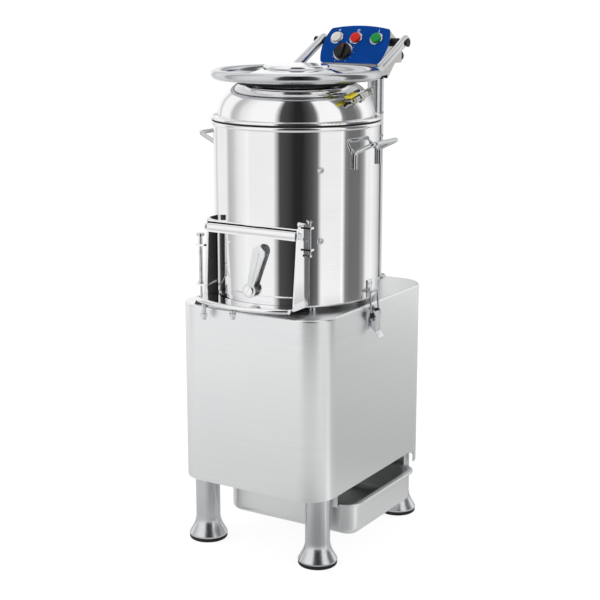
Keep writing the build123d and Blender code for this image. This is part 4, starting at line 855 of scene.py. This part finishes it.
class PEELER_OT_hose_and_gland(bpy.types.Operator):
    """Add the barbs of the hose tail and the ribbed nut of the cable gland"""
    bl_idname = "peeler.hose_and_gland"
    bl_label = "Add Hose Barbs and Gland Ribs"

    barb_places = (-0.38, -0.12, 0.14)
    barb_profile = ((-0.2 * MM, 0), (0.9 * MM, 0.3 * MM), (0.8 * MM, 0.9 * MM), (-0.2 * MM, 4.2 * MM))
    gland_nut = 11 * MM
    nut_behind = 15 * MM
    rib_count = 12
    rib_size = (1.2 * MM, 12 * MM, 2.2 * MM)
    rib_edge = 0.3 * MM

    def execute(self, context):
        centre, out, radius, length = water_inlet()
        bm = bmesh.new()
        for place in self.barb_places:
            profile = [(radius + proud, along) for proud, along in self.barb_profile]
            add_turned(bm, profile, centre + out * (length * place), out)
        piece("hose_tail_barbs", bm, finish(nickel_brass), "base")
        bm = bmesh.new()
        low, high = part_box("cable_gland")
        axis = Vector(((low.x + high.x) / 2, low.y + self.nut_behind, (low.z + high.z) / 2))
        for i in range(self.rib_count):
            turn = math.tau * i / self.rib_count
            spot = axis + Vector((math.cos(turn), 0, math.sin(turn))) * self.gland_nut
            lie = Matrix.Translation(spot) @ Matrix.Rotation(-turn, 4, "Y")
            add_bar(bm, self.rib_size, lie, self.rib_edge)
        piece("gland_nut_ribs", bm, finish(black_plastic), "base")
        return {"FINISHED"}


class PEELER_OT_valve_sleeve(bpy.types.Operator):
    """Add the yellow vinyl sleeve over the grip of the water valve's lever"""
    bl_idname = "peeler.valve_sleeve"
    bl_label = "Add Valve Sleeve"

    lever_ahead = 64.75 * MM
    lever_above = 12.8 * MM
    size = (28 * MM, 16 * MM, 5.6 * MM)
    edge = 2.6 * MM
    edge_rounds = 5

    def execute(self, context):
        inlet, axis = water_inlet()[:2]
        along = axis.normalized()
        above = (UPWARD - along * along.z).normalized()
        centre = inlet - along * self.lever_ahead + above * self.lever_above
        bm = bmesh.new()
        add_bar(bm, self.size, Matrix.Translation(centre) @ axes(along, above.cross(along), above),
                self.edge, self.edge_rounds)
        piece("valve_lever_sleeve", bm, finish(yellow_dip), "valve_handle")
        return {"FINISHED"}


# ---------------- the studio

# Soft lamps: share of the key power, side length in metres, place, and the height that they look at.
LAMPS = {
    "lamp_key_left": (1.0, 2.4, (-2.2, -2.6, 2.6), 0.6),
    "lamp_fill_right": (0.45, 2.4, (2.8, -1.6, 2.0), 0.6),
    "lamp_back": (0.45, 2.0, (0.6, 3.0, 2.6), 0.8),
}


def lamp(name, power, size, place, aim):
    """A soft square area lamp that looks at a height over the origin; metal doesn't mirror it."""
    data = bpy.data.lights.new(name, "AREA")
    data.energy = power
    data.size = size
    made = bpy.data.objects.new(name, data)
    bpy.context.scene.collection.objects.link(made)
    made.location = place
    made.rotation_euler = (UPWARD * aim - Vector(place)).to_track_quat("-Z", "Y").to_euler()
    made.visible_glossy = False


def emptied(holder):
    """The node tree of a material or a world, with nothing in it."""
    holder.use_nodes = True
    holder.node_tree.nodes.clear()
    return holder.node_tree


def seen_by_eye(tree):
    """One where a ray comes from the camera, a mirror or glass, and nought elsewhere."""
    path = add(tree, "ShaderNodeLightPath").outputs
    first = worked(tree, "MAXIMUM", path["Is Camera Ray"], path["Is Glossy Ray"])
    return worked(tree, "MAXIMUM", first, path["Is Transmission Ray"])


# Curved glowing flags round the drum that only reflections show, painted reflections of dark and grey bands:
# turn in degrees and grey, soft at both ends.
FLAGS = {
    "flag_black_front": [(-89, 1.0), (-80, 0.075), (-67, 0.045), (-60, 0.022), (-50, 0.022), (-38, 0.08),
                         (-31, 0.16), (-25, 1.0)],
    "flag_grey_right": [(5, 1.0), (10, 0.24), (17, 0.16), (34, 0.17), (43, 0.34), (52, 1.0)],
    "flag_soft_back": [(62, 1.0), (82, 0.78), (100, 0.50), (108, 0.60), (118, 1.0)],
    "flag_soft_left": [(152, 1.0), (161, 0.66), (170, 1.0)],
    "flag_soft_front": [(-169, 1.0), (-160, 0.52), (-152, 0.60), (-142, 0.84), (-124, 1.0)],
}


class PEELER_OT_stage(bpy.types.Operator):
    """Build the white studio: floor, surround, flags, lamps and camera"""
    bl_idname = "peeler.stage"
    bl_label = "Build the Stage"

    flag_radius = 1.8
    flag_foot = 0.13
    flag_height = 5.0
    flag_steps = 24
    floor_half = 30.0
    floor_seen = 1.12
    floor_glow = 0.80
    # painted shade: the floor that mirrors see darkens to floor_dark near the machine, and to shade_level on
    # the machine's right
    floor_dark = 0.60
    floor_near = 0.3
    floor_far = 2.6
    shade_side = (0.525, 0.851, 0.0)
    shade_spread = (0.3, 0.55)
    shade_end = 2.2
    shade_level = 0.68
    # painted shade: a dark patch on the floor that only mirrors see, which darkens the middle of the legs
    painted_shade_middle = (0.25, -0.42, 0.0)
    painted_shade_near = 0.10
    painted_shade_far = 0.36
    painted_shade_level = 0.38
    glint_foot = (0.155, -0.19, 0.0)
    glint_turns = (6, 14, 19, 30)
    glint_level = 1.75
    lens = 84.0
    sensor = 36.0
    eye = (1.4974, -2.46848, 1.1598)
    look_down = 13.0
    look_turn = 31.7

    def execute(self, context):
        settings = context.scene.peeler_stage
        context.scene.view_settings.view_transform = "Standard"
        self.floor()
        self.surround(context.scene, settings.sky_strength)
        for name, stops in FLAGS.items():
            self.flag(name, stops)
        for name, (share, size, place, aim) in LAMPS.items():
            lamp(name, share * settings.key_power, size, place, aim)
        self.camera(context.scene)
        return {"FINISHED"}

    def floor(self):
        """White paper, which metal mirrors darker near the machine and brighter in one ray: a painted shade
        and a painted highlight in its mirrored glow.
        """
        material = bpy.data.materials.new("studio_paper_white")
        tree = emptied(material)
        paper = add(tree, "ShaderNodeBsdfDiffuse", {"Color": linear("#F7F7F7")})
        place = add(tree, "ShaderNodeTexCoord").outputs["Object"]
        far = measured(tree, "LENGTH", place)
        side = measured(tree, "DOT_PRODUCT", place, self.shade_side)
        reach = measured(tree, "DISTANCE", place, self.painted_shade_middle)
        # painted shade in mirrors: the glow is darker to the machine's right, so its right side face mirrors
        # darker
        aside = stepped(tree, side, *self.shade_spread, 0.0, 1.0)
        close = stepped(tree, far, self.shade_end, self.floor_far, 1.0, 0.0)
        shade = stepped(tree, worked(tree, "MULTIPLY", aside, close), 0.0, 1.0, 1.0, self.shade_level)
        # painted shade: the dark patch that the legs mirror down their middles
        painted_shade = stepped(tree, reach, self.painted_shade_near, self.painted_shade_far, self.painted_shade_level, 1.0)
        # painted shade in mirrors: the glow is darker near the machine, so the metal mirrors it darker lower
        # down
        pool = stepped(tree, far, self.floor_near, self.floor_far, self.floor_dark, 1.0)
        for share in (shade, painted_shade, self.glint(tree, place)):
            pool = worked(tree, "MULTIPLY", pool, share)
        path = add(tree, "ShaderNodeLightPath").outputs["Is Camera Ray"]
        level = add(tree, "ShaderNodeMix", {"Factor": path, 2: pool, 3: self.floor_seen}, data_type="FLOAT")
        glow = add(tree, "ShaderNodeEmission", {"Color": (1, 1, 1, 1), "Strength": level.outputs[0]})
        share = worked(tree, "MULTIPLY", seen_by_eye(tree), self.floor_glow)
        mix = add(tree, "ShaderNodeMixShader", {0: share, 1: paper.outputs[0], 2: glow.outputs[0]})
        add(tree, "ShaderNodeOutputMaterial", {"Surface": mix.outputs[0]})
        bm = bmesh.new()
        bmesh.ops.create_grid(bm, x_segments=2, y_segments=2, size=self.floor_half)
        made = mesh_object("studio_floor", bm, material)

    def glint(self, tree, place):
        """A brighter ray on the floor, which draws the light line down the cabinet's front right corner."""
        near = add(tree, "ShaderNodeVectorMath", {0: place, 1: self.glint_foot}, operation="SUBTRACT")
        spot = add(tree, "ShaderNodeSeparateXYZ", {"Vector": near.outputs["Vector"]}).outputs
        turn = worked(tree, "ARCTAN2", spot["Y"], spot["X"])
        start, full, fall, end = (math.radians(angle) for angle in self.glint_turns)
        both = worked(tree, "MULTIPLY", stepped(tree, turn, start, full, 0.0, 1.0),
                      stepped(tree, turn, fall, end, 1.0, 0.0))
        return stepped(tree, both, 0.0, 1.0, 1.0, self.glint_level)

    def surround(self, scene, strength):
        """A white world, fully white to the eye and in mirrors and dimmer on matt surfaces."""
        world = bpy.data.worlds.new("studio_surround")
        tree = emptied(world)
        level = stepped(tree, seen_by_eye(tree), 0.0, 1.0, strength, 1.0)
        back = add(tree, "ShaderNodeBackground", {"Color": (1, 1, 1, 1), "Strength": level})
        add(tree, "ShaderNodeOutputWorld", {"Surface": back.outputs[0]})
        scene.world = world

    def flag(self, name, stops):
        """A curved glowing flag round the drum's axis that only reflections show, a painted reflection grey
        by its turn.
        """
        first, last = stops[0][0], stops[-1][0]
        material = bpy.data.materials.new(name + "_grey")
        tree = emptied(material)
        place = add(tree, "ShaderNodeTexCoord").outputs["Object"]
        spot = add(tree, "ShaderNodeSeparateXYZ", {"Vector": place}).outputs
        turn = worked(tree, "ARCTAN2", worked(tree, "SUBTRACT", spot["Y"], DRUM_AXIS.y), spot["X"])
        share = stepped(tree, turn, math.radians(first), math.radians(last), 0.0, 1.0)
        ramp = add(tree, "ShaderNodeValToRGB", {"Fac": share})
        points = ramp.color_ramp.elements
        for stop in stops[1:-1]:
            points.new((stop[0] - first) / (last - first))
        for element, stop in zip(sorted(points, key=lambda e: e.position), stops):
            element.color = (stop[1], stop[1], stop[1], 1)
        glow = add(tree, "ShaderNodeEmission", {"Color": ramp.outputs["Color"], "Strength": 1.0})
        add(tree, "ShaderNodeOutputMaterial", {"Surface": glow.outputs[0]})
        bm = bmesh.new()
        foot = bm.verts.new(facing(first) * self.flag_radius + UPWARD * self.flag_foot)
        line = bmesh.ops.extrude_vert_indiv(bm, verts=[foot])
        bmesh.ops.translate(bm, verts=line["verts"], vec=(0, 0, self.flag_height))
        bmesh.ops.spin(bm, geom=[foot] + line["verts"] + line["edges"], axis=UPWARD, cent=(0, 0, 0),
                       angle=math.radians(last - first), steps=self.flag_steps)
        bmesh.ops.translate(bm, verts=bm.verts, vec=DRUM_AXIS)
        made = mesh_object(name, bm, material)
        made.visible_camera = made.visible_diffuse = made.visible_shadow = made.visible_transmission = False

    def camera(self, scene):
        """The camera of the photo, as solved from points in it."""
        data = bpy.data.cameras.new("photo_camera")
        data.lens = self.lens
        data.sensor_width = self.sensor
        made = bpy.data.objects.new("photo_camera", data)
        scene.collection.objects.link(made)
        made.location = self.eye
        made.rotation_euler = (math.radians(90 - self.look_down), 0, math.radians(self.look_turn))
        scene.camera = made


# ---------------- the add-on's panel and its parts

PIECE_OPERATORS = (PEELER_OT_finish_nodes, PEELER_OT_drum_bolts, PEELER_OT_case_screws,
                   PEELER_OT_latch_fittings, PEELER_OT_panel_marks, PEELER_OT_weld_runs,
                   PEELER_OT_hose_and_gland, PEELER_OT_valve_sleeve, PEELER_OT_stage)
SETTINGS = {"peeler_finish": PeelerFinishSettings, "peeler_fasteners": PeelerFastenerSettings,
            "peeler_dial": PeelerDialSettings, "peeler_welds": PeelerWeldSettings,
            "peeler_stage": PeelerStageSettings}


class PEELER_PT_sidebar(bpy.types.Panel):
    """The peeler's settings and the buttons that build its pieces"""
    bl_idname = "PEELER_PT_sidebar"
    bl_label = "Potato Peeler"
    bl_space_type = "VIEW_3D"
    bl_region_type = "UI"
    bl_category = "Peeler"

    def draw(self, context):
        for name, group in SETTINGS.items():
            box = self.layout.box()
            for setting in group.bl_rna.properties:
                if setting.identifier not in ("rna_type", "name"):
                    box.prop(getattr(context.scene, name), setting.identifier)
        for operator in PIECE_OPERATORS:
            self.layout.operator(operator.bl_idname)


def register():
    for name, group in SETTINGS.items():
        bpy.utils.register_class(group)
        setattr(bpy.types.Scene, name, bpy.props.PointerProperty(type=group))
    for made in (*PIECE_OPERATORS, PEELER_PT_sidebar):
        bpy.utils.register_class(made)


def unregister():
    for made in (PEELER_PT_sidebar, *reversed(PIECE_OPERATORS)):
        bpy.utils.unregister_class(made)
    for name, group in SETTINGS.items():
        delattr(bpy.types.Scene, name)
        bpy.utils.unregister_class(group)


def main():
    register()
    bpy.ops.peeler.finish_nodes()
    bpy.ops.peeler.drum_bolts()
    bpy.ops.peeler.case_screws()
    bpy.ops.peeler.latch_fittings()
    bpy.ops.peeler.panel_marks()
    bpy.ops.peeler.weld_runs()
    bpy.ops.peeler.hose_and_gland()
    bpy.ops.peeler.valve_sleeve()
    bpy.ops.peeler.stage()


if __name__ == "__main__":
    main()
